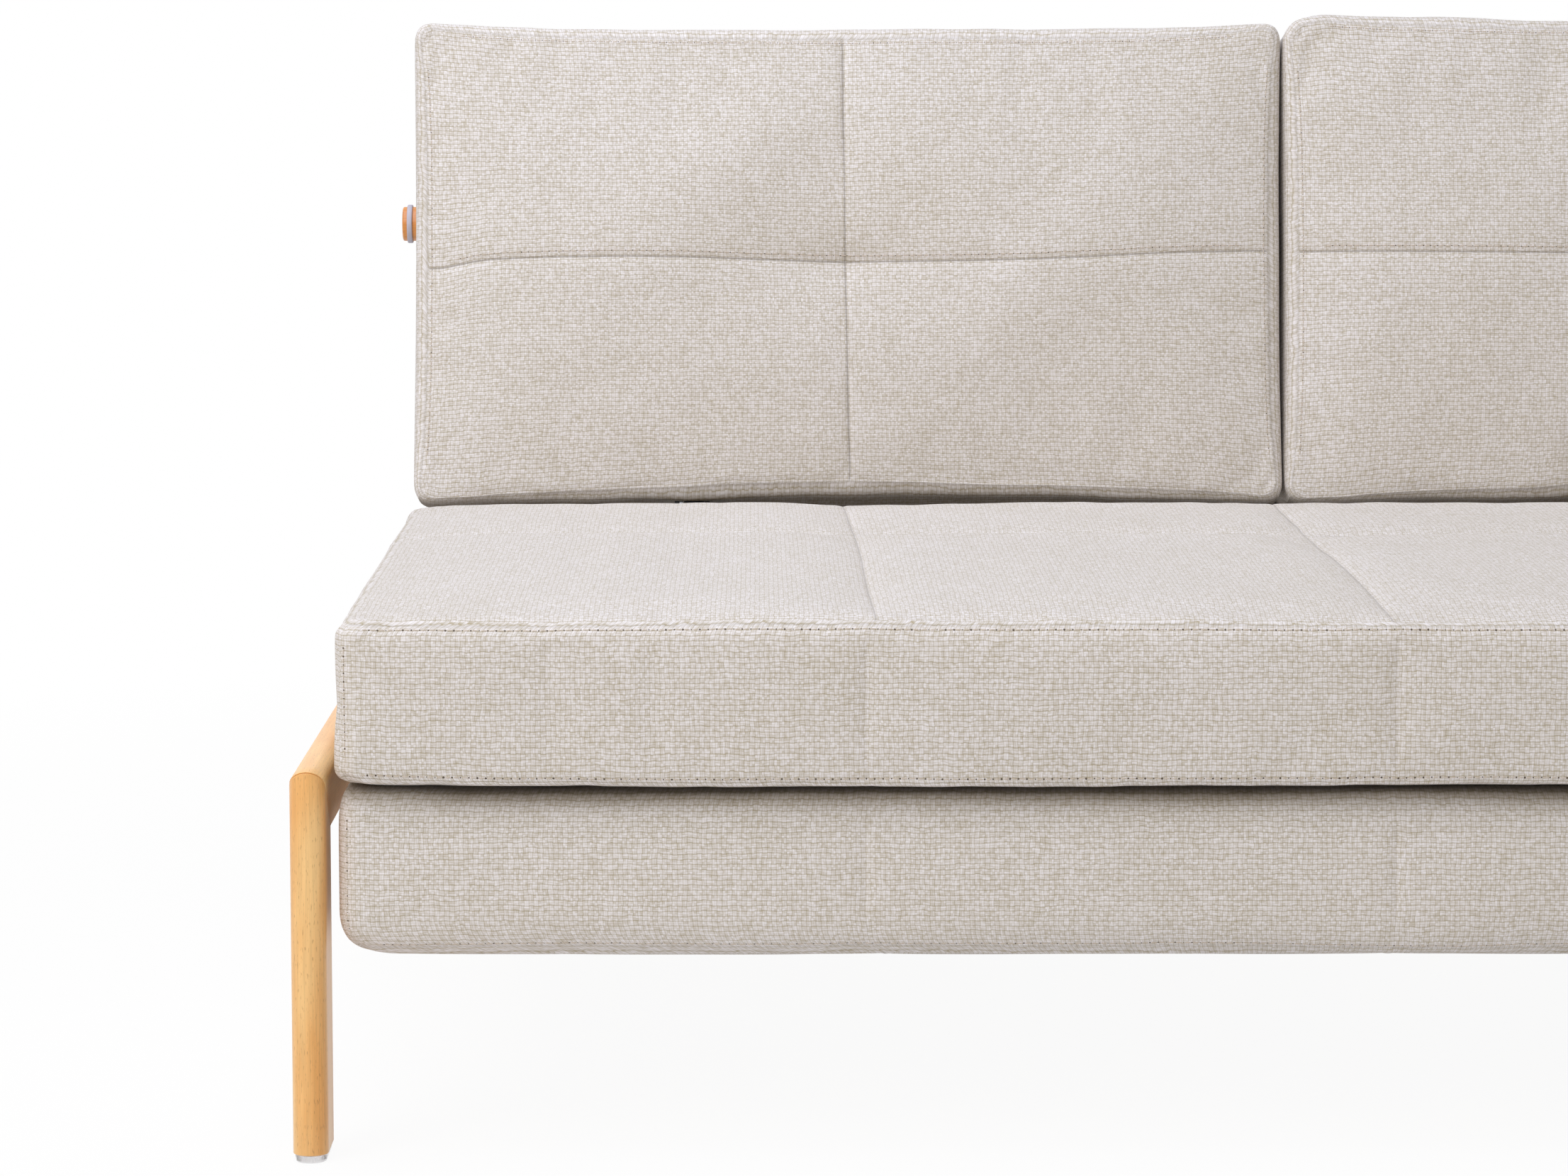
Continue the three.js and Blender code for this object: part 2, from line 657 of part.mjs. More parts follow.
// Support leg, drawn stowed in the lower layer with its feet towards the fold
function buildSupportLeg() {
  const group = new THREE.Group();
  const unfoldedHeight = upperPivotHeight + lowerPivotHeight - supportPivotHeight;
  const length = unfoldedHeight - supportFloorGap - supportFootHeight - frameGap;
  const z = supportPivotHeight;
  const end = supportPivotPlace - length;
  for (const [word, side] of sides) {
    const x = side * supportPlace;
    const tube = roundBar(point(x, end, z), point(x, supportPivotPlace, z), supportRadius);
    const xs = about(x, supportRadius);
    const eye = pinAcross(supportRadius, xs, supportPivotPlace, z);
    const bore = pinAcross(supportPinRadius + pinClearance, past(xs), supportPivotPlace, z);
    add(group, `support_leg_${word}`, cut(join(tube, eye), bore), blackSteel);
    const sole = end - frameGap - supportFootHeight;
    const foot = roundBar(point(x, sole, z), point(x, end - frameGap, z), supportFootRadius);
    add(group, `support_foot_${word}`, foot, blackRubber);
  }
  const barEnd = supportPlace - supportRadius - frameGap;
  const y = supportPivotPlace - supportBarPlace;
  add(group, 'support_leg_bar', pinAcross(supportBarRadius, [-barEnd, barEnd], y, z), blackSteel);
  return group;
}

// Wooden side frames: legs and rails of one rounded section, mitred at the corners
function woodSection(depth, round) {
  const edge = half(woodWidth);
  const shape = new THREE.Shape();
  shape.moveTo(edge, depth);
  shape.lineTo(-edge, depth);
  shape.lineTo(-edge, round);
  shape.absellipse(0, round, edge, round, Math.PI, Math.PI * 2, false);
  return shape;
}

function mitredBar(depth, round, length, startSlope, endSlope) {
  const settings = { depth: length, bevelEnabled: false, curveSegments: arcSegments };
  const geometry = new THREE.ExtrudeGeometry(woodSection(depth, round), settings);
  const places = geometry.getAttribute('position');
  for (let i = 0; i < places.count; i++) {
    const [y, z] = [places.getY(i), places.getZ(i)];
    places.setZ(i, z < half(length) ? z + startSlope * y : z - endSlope * y);
  }
  return geometry;
}

function glide() {
  const geometry = new THREE.ExtrudeGeometry(woodSection(legDepth - glideInset * 2, woodRound), {
    depth: glideHeight - frameGap, bevelEnabled: false, curveSegments: arcSegments,
  });
  const places = geometry.getAttribute('position');
  const centre = half(legDepth - glideInset * 2);
  for (let i = 0; i < places.count; i++) {
    const share = places.getZ(i) === 0 ? glideTaperShare : 1;
    places.setX(i, places.getX(i) * share * (1 - glideInset / half(woodWidth)));
    places.setY(i, centre + (places.getY(i) - centre) * share + glideInset);
  }
  return geometry;
}

function buildSideFrame(word, side) {
  const group = new THREE.Group();
  group.position.x = side * woodMiddle;
  const legLength = railTop - glideHeight - mitreGap;
  const ends = [['front', frameFront, 0], ['rear', frameBack, Math.PI]];
  for (const [place, y, turn] of ends) {
    const bar = mitredBar(legDepth, woodRound, legLength, 0, railDepth / legDepth);
    const leg = add(group, `${place}_leg_${word}`, bar, beech);
    leg.position.set(0, y, glideHeight);
    leg.rotation.z = turn;
    const foot = add(group, `${place}_glide_${word}`, glide(), clearPlastic);
    foot.position.set(0, y, 0);
    foot.rotation.z = turn;
  }
  const slope = legDepth / railDepth;
  const railLength = frameBack - frameFront;
  const railRound = (woodRound * railDepth) / legDepth;
  const bar = mitredBar(railDepth, railRound, railLength, slope, slope);
  const rail = add(group, `side_rail_${word}`, bar, beech);
  rail.rotation.x = -Math.PI / 2;
  rail.position.set(0, frameFront, railTop);
  return group;
}

function pivotPlate(side) {
  const outer = woodInner - frameGap;
  const plate = block(
    reach(side, outer - pivotPlateThickness, outer),
    about(liftPivotPlace, pivotPlateHalfWidth),
    about(liftPivotHeight, pivotPlateHalfHeight),
  );
  const inner = halfSeat - liftArmInset - liftArmThickness - pinProud;
  const pinXs = reach(side, inner, outer - half(pivotPlateThickness));
  return join(plate, pinAcross(liftPinRadius, pinXs, liftPivotPlace, liftPivotHeight));
}

function rearStretcher() {
  const y = frameBack - half(legDepth);
  const outer = woodInner - frameGap;
  const end = outer - half(flangeThickness);
  const tube = pinAcross(stretcherRadius, [-end, end], y, stretcherHeight, stretcherBore);
  const flanges = sides.map(([, side]) =>
    pinAcross(flangeRadius, reach(side, outer - flangeThickness, outer), y, stretcherHeight));
  const ventTop = point(0, y, stretcherHeight);
  const vent = roundBar(point(0, y, ventTop.z - stretcherRadius - overrun), ventTop, stretcherVent);
  return cut(join(tube, ...flanges), vent);
}

function buildBase() {
  const group = new THREE.Group();
  for (const [word, side] of sides) {
    group.add(buildSideFrame(word, side));
    add(group, `pivot_plate_${word}`, pivotPlate(side), zincSteel);
  }
  add(group, 'rear_stretcher', rearStretcher(), blackSteel);
  return group;
}

// Back, laid out upright with the hinge at zero
function cushionCover() {
  const form = softBox({
    width: cushionWidth, depth: cushionHeight, height: cushionThickness, round: cushionCornerRound,
    lowRound: cushionEdgeRound, highRound: cushionEdgeRound, pull: cushionPull,
    seamsX: [0], seamsY: [cushionSeamY],
    lift: (x, y, z) => (z < cushionThickness ? 0 : backLift(x, y)),
  });
  const insetX = half(cushionWidth) - cushionPull - cushionWrap;
  const insetY = half(cushionHeight) - cushionPull - cushionWrap;
  const cavityZ = [cushionWrap, cushionThickness - cushionFrontWrap];
  const cavity = block([-insetX, insetX], [-insetY, insetY], cavityZ);
  const zipY = zipHeight - half(cushionHeight);
  const zip = block(about(0, half(zipLength)), [zipY, zipY + zipOpening], [-overrun, cushionWrap * 2]);
  return cut(form, cavity, zip);
}

function cushionCore() {
  const insetX = half(cushionWidth) - cushionPull - cushionWrap - frameGap;
  const insetY = half(cushionHeight) - cushionPull - cushionWrap - frameGap;
  return block(
    [-insetX, insetX], [-insetY, insetY],
    [cushionWrap + frameGap, cushionThickness - cushionFrontWrap - frameGap],
  );
}

function standUp(mesh, x) {
  mesh.rotation.x = Math.PI / 2;
  mesh.position.set(x, cushionBack, cushionBottom + half(cushionHeight));
}

function hingeArm(side) {
  const edge = half(armSize);
  const xs = about(side * armPlace, edge);
  const bar = block(xs, [0, postFront - frameGap], [-hingeEyeRadius, hingeEyeRadius]);
  const eye = pinAcross(hingeEyeRadius, xs, 0, 0);
  const bore = pinAcross(hingePinRadius + pinClearance, past(xs), 0, 0);
  return cut(join(bar, eye), bore);
}

// A post whose top is hollowed to seat the dowel.
function backPost(x) {
  const post = block(
    about(x, half(postSize)), [postFront, postBack], [-hingeEyeRadius, dowelHeight],
  );
  const seat = pinAcross(dowelRadius + frameGap, about(x, postSize), dowelPlace, dowelHeight);
  const above = block(
    about(x, postSize), [postFront - overrun, postBack + overrun],
    [dowelHeight - half(dowelRadius), dowelHeight + overrun],
  );
  return cut(post, seat, above);
}

function dowelClip(x) {
  const long = about(x, clipWidth);
  const ring = pinAcross(clipRadius, about(x, half(clipWidth)), dowelPlace, dowelHeight);
  const bore = pinAcross(dowelRadius + frameGap, long, dowelPlace, dowelHeight);
  const mouth = block(long, about(dowelPlace, clipOpening), [dowelHeight - clipRadius * 2, dowelHeight]);
  return cut(ring, bore, mouth);
}

function backDowel() {
  const outline = [
    [0, -dowelHalfLength], [dowelRadius - dowelEdge, -dowelHalfLength],
    [dowelRadius, dowelEdge - dowelHalfLength], [dowelRadius, dowelHalfLength - dowelEdge],
    [dowelRadius - dowelEdge, dowelHalfLength], [0, dowelHalfLength],
  ].map(([r, h]) => new THREE.Vector2(r, h));
  return new THREE.LatheGeometry(outline, sheetSegments);
}

function dowelRing() {
  const inner = dowelRadius + frameGap;
  const w = half(ringWidth);
  const corner = ringThickness * ringEdgeShare;
  const outline = [
    [inner, -w], [inner + ringThickness - corner, -w], [inner + ringThickness, corner - w],
    [inner + ringThickness, w - corner], [inner + ringThickness - corner, w], [inner, w], [inner, -w],
  ].map(([r, h]) => new THREE.Vector2(r, h));
  return new THREE.LatheGeometry(outline, sheetSegments);
}

function buildBack() {
  const group = new THREE.Group();
  group.position.copy(hinge);
  group.rotation.x = -THREE.MathUtils.degToRad(backLean);
  for (const [word, side] of sides) {
    const x = side * half(cushionWidth + cushionGap);
    standUp(add(group, `back_cover_${word}`, cushionCover(), cloth), x);
    standUp(add(group, `back_foam_${word}`, cushionCore(), foam), x);
    add(group, `hinge_arm_${word}`, hingeArm(side), blackSteel);
    const ring = add(group, `dowel_ring_${word}`, dowelRing(), paleRubber);
    ring.rotation.z = Math.PI / 2;
    ring.position.set(side * ringPlace, dowelPlace, dowelHeight);
  }
  for (const [word, x] of [['left', -armPlace], ['middle', 0], ['right', armPlace]]) {
    add(group, `back_post_${word}`, backPost(x), blackSteel);
    add(group, `dowel_clip_${word}`, dowelClip(x), zincSteel);
  }
  const dowel = add(group, 'back_dowel', backDowel(), beech);
  dowel.rotation.z = Math.PI / 2;
  dowel.position.set(0, dowelPlace, dowelHeight);
  const reachIn = armPlace - half(armSize) - frameGap;
  const railY = hinge.z - upperTubeBottom + railClearance + half(armSize);
  add(group, 'cushion_rail', tubeAcross([-reachIn, reachIn], railY, 0, armSize), blackSteel);
  for (const [word, side] of sides) {
    const ends = reach(side, half(postSize) + frameGap, reachIn);
    add(group, `post_rail_${word}`, tubeAcross(ends, dowelPlace, 0, postSize), blackSteel);
  }
  return group;
}

const group = new THREE.Group();
const lean = THREE.MathUtils.degToRad(backLean);
const rearmost = hinge.y + dowelPlace * Math.cos(lean) + dowelHeight * Math.sin(lean) + clipRadius;
group.position.y = -middle(frameFront, rearmost);
group.add(buildBase(), buildUpperLayer(), buildLowerLayer(), buildSupportLeg(), buildBack());
for (const [word, side] of sides) add(group, `fold_link_${word}`, foldLink(side), zincSteel);

export default group;
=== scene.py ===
# %% [markdown]
# # A click clack sofa bed, dressed in Blender
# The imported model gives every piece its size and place. This lesson loads it as a fixed
# frame and then makes, piece by piece, what the eye sees: sewn and padded cloth, rounded
# beech, a dowel with its ring, and the steel and slats underneath.
# Lengths that belong to the object are written in millimetres and turned to metres once.

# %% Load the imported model
import math

import bpy
import numpy as np
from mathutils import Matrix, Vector, noise
from mathutils.bvhtree import BVHTree


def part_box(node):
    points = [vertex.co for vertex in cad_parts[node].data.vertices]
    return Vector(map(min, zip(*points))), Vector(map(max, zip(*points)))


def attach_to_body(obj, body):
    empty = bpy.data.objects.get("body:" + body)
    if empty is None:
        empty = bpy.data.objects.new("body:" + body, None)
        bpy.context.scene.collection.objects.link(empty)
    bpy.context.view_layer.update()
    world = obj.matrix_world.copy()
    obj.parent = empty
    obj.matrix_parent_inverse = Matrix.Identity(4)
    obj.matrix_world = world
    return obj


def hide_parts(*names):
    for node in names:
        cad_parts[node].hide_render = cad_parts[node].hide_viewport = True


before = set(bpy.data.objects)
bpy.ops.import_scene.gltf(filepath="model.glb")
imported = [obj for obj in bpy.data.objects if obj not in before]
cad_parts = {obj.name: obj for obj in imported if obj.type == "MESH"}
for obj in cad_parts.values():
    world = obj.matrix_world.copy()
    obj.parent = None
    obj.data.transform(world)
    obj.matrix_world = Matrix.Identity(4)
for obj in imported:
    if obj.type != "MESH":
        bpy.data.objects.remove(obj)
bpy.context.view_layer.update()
MM = 0.001

# %% [markdown]
# ## Camera
# The photograph was taken from in front of the left half, a little above the seat, with a
# long lens. Its place was found from edges whose real directions are known, such as the two
# top edges of the seat and the upright leg. Nothing is shifted or blurred.

# %% Camera
SENSOR = 36
PHOTO_WIDTH = 2212
FOCAL_PIXELS = 7001
PITCH, YAW = 6.48, 0.26

lens_data = bpy.data.cameras.new("camera")
lens_data.sensor_width = SENSOR
lens_data.lens = FOCAL_PIXELS * SENSOR / PHOTO_WIDTH
camera = bpy.data.objects.new("camera", lens_data)
camera.location = (-0.443, -3.90776, 0.793)
camera.rotation_euler = (math.radians(90 - PITCH), 0, math.radians(-YAW))
bpy.context.scene.collection.objects.link(camera)
bpy.context.scene.camera = camera
print("lens", round(lens_data.lens, 1), "mm")

# %% [markdown]
# ## Colours and nodes
# A colour is written as the hex value that a screen shows. Blender's shaders work with
# linear light, so one function turns hex to linear. One more adds a node, gives it its
# settings, and joins or fills its inputs. A node given as an input stands for its first
# output.

# %% Colours and nodes
def linear(code):
    parts = [int(code[i:i + 2], 16) / 255 for i in (1, 3, 5)]
    return (*[p / 12.92 if p <= 0.04045 else ((p + 0.055) / 1.055) ** 2.4 for p in parts], 1)


def add_node(tree, kind, inputs=(), **settings):
    node = tree.nodes.new(kind)
    for key, value in settings.items():
        setattr(node, key, value)
    given = inputs if isinstance(inputs, dict) else dict(enumerate(inputs))
    for key, value in given.items():
        if isinstance(value, bpy.types.Node):
            value = value.outputs[0]
        if isinstance(value, bpy.types.NodeSocket):
            tree.links.new(value, node.inputs[key])
        else:
            node.inputs[key].default_value = value
    return node


def new_material(name):
    material = bpy.data.materials.new(name)
    material.use_nodes = True
    material.node_tree.nodes.clear()
    return material, material.node_tree


print("beech in linear light", [round(v, 3) for v in linear("#e2b077")])

# %% [markdown]
# ## Floor, backdrop and light
# The photograph's ground and background are plain white. A white world would also flood the
# cloth with light, so the white is given only to the rays that the eye, metal and glass see,
# with Light Path. The floor does the same, but keeps a share of its real shading, so that
# the sofa bed still stands on a faint shadow. The light itself is soft: a dim even world, a
# large lamp high on the left, and a second one over the seat.

# %% Floor
FLOOR_HALF = 120
FLOOR_WHITE_SHARE = 0.94
SHADOW_REACH = (1.0, 2.4)  # metres from the middle over which the shadow's share fades out


def seen_directly(tree):
    path = add_node(tree, "ShaderNodeLightPath")
    eye, metal, glass = (path.outputs[f"Is {kind} Ray"]
                         for kind in ("Camera", "Glossy", "Transmission"))
    either = add_node(tree, "ShaderNodeMath", [eye, metal], operation="MAXIMUM")
    return add_node(tree, "ShaderNodeMath", [either, glass], operation="MAXIMUM")


floor_paint, tree = new_material("floor_paint")
matt = add_node(tree, "ShaderNodeBsdfDiffuse", {"Color": linear("#f4f3f1")})
white = add_node(tree, "ShaderNodeEmission", {"Color": linear("#ffffff"), "Strength": 1})
ground = add_node(tree, "ShaderNodeNewGeometry")
far = add_node(tree, "ShaderNodeVectorMath", [ground.outputs["Position"]], operation="LENGTH")
whiter = add_node(tree, "ShaderNodeMapRange",
                  [far.outputs["Value"], *SHADOW_REACH, FLOOR_WHITE_SHARE, 1])
share = add_node(tree, "ShaderNodeMath", [seen_directly(tree), whiter], operation="MULTIPLY")
mixed = add_node(tree, "ShaderNodeMixShader", [share, matt, white])
add_node(tree, "ShaderNodeOutputMaterial", {"Surface": mixed})

floor_mesh = bpy.data.meshes.new("floor")
corners = [(-FLOOR_HALF, -FLOOR_HALF, 0), (FLOOR_HALF, -FLOOR_HALF, 0),
           (FLOOR_HALF, FLOOR_HALF, 0), (-FLOOR_HALF, FLOOR_HALF, 0)]
floor_mesh.from_pydata(corners, [], [(0, 1, 2, 3)])
floor = bpy.data.objects.new("floor", floor_mesh)
floor_mesh.materials.append(floor_paint)
bpy.context.scene.collection.objects.link(floor)
print("floor keeps", round(1 - FLOOR_WHITE_SHARE, 2), "of its shading near the sofa bed")

# %% World
FILL_STRENGTH = 0.36

world = bpy.data.worlds.new("studio")
bpy.context.scene.world = world
world.use_nodes = True
tree = world.node_tree
tree.nodes.clear()
fill = add_node(tree, "ShaderNodeBackground",
                {"Color": linear("#fff9f1"), "Strength": FILL_STRENGTH})
plain = add_node(tree, "ShaderNodeBackground", {"Color": linear("#ffffff"), "Strength": 1})
both = add_node(tree, "ShaderNodeMixShader", [seen_directly(tree), fill, plain])
add_node(tree, "ShaderNodeOutputWorld", {"Surface": both})

bpy.context.scene.view_settings.view_transform = "Standard"
print("fill light", FILL_STRENGTH)


# %% Lamps
def soft_lamp(name, place, target, width, power, tint):
    data = bpy.data.lights.new(name, "AREA")
    data.shape = "SQUARE"
    data.size = width
    data.energy = power
    data.color = linear(tint)[:3]
    lamp = bpy.data.objects.new(name, data)
    lamp.location = place
    lamp.rotation_euler = (Vector(target) - Vector(place)).to_track_quat("-Z", "Y").to_euler()
    bpy.context.scene.collection.objects.link(lamp)


soft_lamp("key_lamp", (-2.6, -3.4, 2.9), (0, 0, 0.45), 2.2, 72, "#fffcf8")
soft_lamp("top_lamp", (-1.1, -0.5, 3.2), (-0.2, -0.1, 0.4), 2.6, 68, "#e6edff")
print("two soft lamps")

# %% [markdown]
# ## Upholstery cloth
# The cover is a coarse plain weave in off-white and khaki yarns, polyester with some linen.
# It could be a flat colour with noise, but the crossing yarns are what the eye reads as
# cloth, so they are drawn. Both ways the yarns lie in pairs, about 3.5 mm across and 3.7 mm
# upward on the photograph. They take turns on top, crossing by crossing, and stray a little
# from their straight lines. The map for the weave is laid on the panels as cloth is cut.

# %% Crossing yarns
WARP_PITCH, WEFT_PITCH = 3.46 * MM, 3.7 * MM
WANDER = 3.2 * MM  # a yarn strays by up to half of this to either side
WANDER_LENGTH = 15 * MM
WEFT_ABOVE = (0.12, 0.88)  # shares of the warp's and the weft's profile where the weft is on top
WARP_ABOVE = (0.66, 0.34)


def crossing_yarns(tree, place):
    wander = add_node(tree, "ShaderNodeTexNoise", {
        "Vector": place, "Scale": 1 / WANDER_LENGTH, "Detail": 2,
    })
    bent = add_node(tree, "ShaderNodeVectorMath", [
        wander.outputs["Color"], (WANDER, WANDER, 0), place,
    ], operation="MULTIPLY_ADD")
    split = add_node(tree, "ShaderNodeSeparateXYZ", [bent])
    counts = [add_node(tree, "ShaderNodeMath", [split.outputs[axis], pitch], operation="DIVIDE")
              for axis, pitch in enumerate((WARP_PITCH, WEFT_PITCH))]
    numbers = [add_node(tree, "ShaderNodeMath", [count], operation="FLOOR") for count in counts]
    total = add_node(tree, "ShaderNodeMath", numbers, operation="ADD")
    turn = add_node(tree, "ShaderNodeMath", [total, 1], operation="PINGPONG")
    return split, counts, numbers, turn


# A pair's profile is one wide swell and two narrow ones, half of each.
def woven_height(tree, counts, turn):
    height = 0
    for count, weft_above, warp_above in zip(counts, WEFT_ABOVE, WARP_ABOVE):
        swells = []
        for turns in (1, 2):
            angle = add_node(tree, "ShaderNodeMath", [count, turns * math.pi],
                             operation="MULTIPLY")
            sine = add_node(tree, "ShaderNodeMath", [angle], operation="SINE")
            swells.append(add_node(tree, "ShaderNodeMath", [sine], operation="ABSOLUTE"))
        both = add_node(tree, "ShaderNodeMath", swells, operation="ADD")
        profile = add_node(tree, "ShaderNodeMath", [both, 0.5], operation="MULTIPLY")
        share = add_node(tree, "ShaderNodeMix", {"Factor": turn, 2: weft_above, 3: warp_above},
                         data_type="FLOAT")
        height = add_node(tree, "ShaderNodeMath", [profile, share, height],
                          operation="MULTIPLY_ADD")
    return height


print("pairs of yarns every", round(WARP_PITCH / MM, 2), "mm across")

# %% [markdown]
# ## Shades of the yarns
# No two yarns are alike. Each is slubbed, so its shade changes slowly along it, and each
# crossing has a shade of its own. Loose fibres lie over them, and wide soft patches run over
# the whole cloth. The sum of these moves the colour between a pale and a deep one. At the
# seams, in the folds and along the gaps between parts the vertices carry a mark, by which the
# cloth is drawn darker: painted shade, deeper than the soft lamps give there.

# %% Shades of the yarns
SLUB = 16 * MM  # how long a yarn keeps its thickness and shade
YARN_STEP = 7.31  # from yarn to yarn through the noise, so that neighbours differ
PATCH = 140 * MM
FUZZ = (1 / (4.2 * MM), 1 / (1.5 * MM), 1)  # loose fibres, longer across than upward
# Raised yarns are drawn paler and the hollows between them deeper: in part the khaki yarns
# beneath, in part painted shade in the hollows.
HEIGHT_SHADE_SHARE, FUZZ_SHARE, SLUB_SHARE, CROSSING_SHARE, PATCH_SHARE = 0.95, 0.5, 0.42, 0.42, 0.14
BASE_LEVEL = -0.8  # moves the whole cloth between its pale and its deep shade


def shade_level(tree, place, split, counts, numbers, turn, height):
    slubs = []
    for number, along in zip(numbers, (split.outputs[1], split.outputs[0])):
        row = add_node(tree, "ShaderNodeMath", [number, YARN_STEP], operation="MULTIPLY")
        run = add_node(tree, "ShaderNodeMath", [along, SLUB], operation="DIVIDE")
        spot = add_node(tree, "ShaderNodeCombineXYZ", [row, run])
        slubs.append(add_node(tree, "ShaderNodeTexNoise", {
            "Vector": spot, "Scale": 1, "Detail": 2, "Roughness": 0.6,
        }))
    slub = add_node(tree, "ShaderNodeMix", {"Factor": turn, 2: slubs[1], 3: slubs[0]},
                    data_type="FLOAT")
    singles = [add_node(tree, "ShaderNodeMath", [count, 2], operation="MULTIPLY")
               for count in counts]
    cell = add_node(tree, "ShaderNodeCombineXYZ", [
        add_node(tree, "ShaderNodeMath", [single], operation="FLOOR") for single in singles])
    crossing = add_node(tree, "ShaderNodeTexWhiteNoise", [cell], noise_dimensions="2D")
    patch = add_node(tree, "ShaderNodeTexNoise",
                     {"Vector": place, "Scale": 1 / PATCH, "Detail": 3})
    stretched = add_node(tree, "ShaderNodeVectorMath", [place, FUZZ], operation="MULTIPLY")
    fuzz = add_node(tree, "ShaderNodeTexNoise", {
        "Vector": stretched, "Scale": 1, "Detail": 2, "Roughness": 0.7,
    })
    level = BASE_LEVEL
    for value, weight in ((height, HEIGHT_SHADE_SHARE), (fuzz, FUZZ_SHARE), (slub, SLUB_SHARE),
                          (crossing, CROSSING_SHARE), (patch, PATCH_SHARE)):
        level = add_node(tree, "ShaderNodeMath", [value, weight, level], operation="MULTIPLY_ADD")
    return level


print("five things shade the cloth")

# %% Linen blend
# Painted shade: how much red, green and blue the cloth loses under a full mark, in seams, folds
# and gaps.
PAINTED_SHADE_LOSS = (0.55, 0.57, 0.6)  # how much red, green and blue the shut bottom of a seam loses
RELIEF = 0.35 * MM


def weave(name, pale, deep):
    material, tree = new_material(name)
    place = add_node(tree, "ShaderNodeUVMap", uv_map="cut")
    split, counts, numbers, turn = crossing_yarns(tree, place)
    height = woven_height(tree, counts, turn)
    level = shade_level(tree, place, split, counts, numbers, turn, height)
    tone = add_node(tree, "ShaderNodeMix", {"Factor": level, 6: linear(deep), 7: linear(pale)},
                    data_type="RGBA")
    # The attribute seam holds painted shade: the cloth is drawn darker where it carries a mark.
    shade_mark = add_node(tree, "ShaderNodeAttribute", attribute_name="seam")
    less = add_node(tree, "ShaderNodeMath", [shade_mark.outputs["Fac"], -1], operation="MULTIPLY")
    shade_lost = add_node(tree, "ShaderNodeVectorMath", {0: tone.outputs[2], "Scale": less},
                    operation="SCALE")
    shaded = add_node(tree, "ShaderNodeVectorMath", [shade_lost, PAINTED_SHADE_LOSS, tone.outputs[2]],
                      operation="MULTIPLY_ADD")
    bump = add_node(tree, "ShaderNodeBump",
                    {"Height": height, "Distance": RELIEF, "Strength": 0.7})
    cloth = add_node(tree, "ShaderNodeBsdfPrincipled", {
        "Base Color": shaded, "Roughness": 0.92, "IOR": 1.5, "Sheen Weight": 0.15,
        "Sheen Roughness": 0.5, "Specular IOR Level": 0.2, "Normal": bump,
    })
    add_node(tree, "ShaderNodeOutputMaterial", {"Surface": cloth})
    return material


linen_blend_cloth = weave("linen_blend_cloth", "#f4f0f1", "#b5a98f")
print("cloth of", len(linen_blend_cloth.node_tree.nodes), "nodes")

# %% [markdown]
# ## Sewing thread
# The edges are topstitched with thick polyester thread. A row of stitches could be a dashed
# line in the colour, but each stitch also dips into the cloth and leaves a needle hole, so
# the stitches are small bars of thread and the holes small dark pits between them. The dark
# of the pits is painted shade.

# %% Sewing thread
TWIST = 0.8 * MM


def twisted_thread(name, colour, deep):
    material, tree = new_material(name)
    place = add_node(tree, "ShaderNodeTexCoord")
    twist = add_node(tree, "ShaderNodeTexNoise", {
        "Vector": place.outputs["Object"], "Scale": 1 / TWIST, "Detail": 1,
    })
    tone = add_node(tree, "ShaderNodeMix", {"Factor": twist, 6: linear(deep), 7: linear(colour)},
                    data_type="RGBA")
    thread = add_node(tree, "ShaderNodeBsdfPrincipled", {
        "Base Color": tone.outputs[2], "Roughness": 0.6, "IOR": 1.5,
    })
    add_node(tree, "ShaderNodeOutputMaterial", {"Surface": thread})
    return material


sewing_thread = twisted_thread("sewing_thread", "#e2d7ca", "#b9a894")
# The needle holes' colour is painted shade, the dark inside a hole.
needle_hole_shade = twisted_thread("needle_hole_shade", "#6b5d4c", "#463b2f")
print("thread and needle holes")

# %% [markdown]
# ## Beech
# The legs and rails are steamed beech under clear satin lacquer. Beech has a quiet, straight
# grain, a slow change from straw to honey along a board, and many short brown flecks a few
# millimetres long. The grain follows each board's own length, so the pattern is drawn on a
# map whose first number runs round the board and whose second runs along it.

# %% Beech
CLOUD, LINE, FLECK = (26, 180), (1.1, 55), (0.75, 6)  # across and along the board


def streaks(tree, size, detail, distortion=0.0):
    place = add_node(tree, "ShaderNodeUVMap", uv_map="grain")
    across, along = (1 / (length * MM) for length in size)
    scaled = add_node(tree, "ShaderNodeVectorMath", [place, (across, along, 1)],
                      operation="MULTIPLY")
    return add_node(tree, "ShaderNodeTexNoise", {
        "Vector": scaled, "Scale": 1, "Detail": detail, "Distortion": distortion,
    })


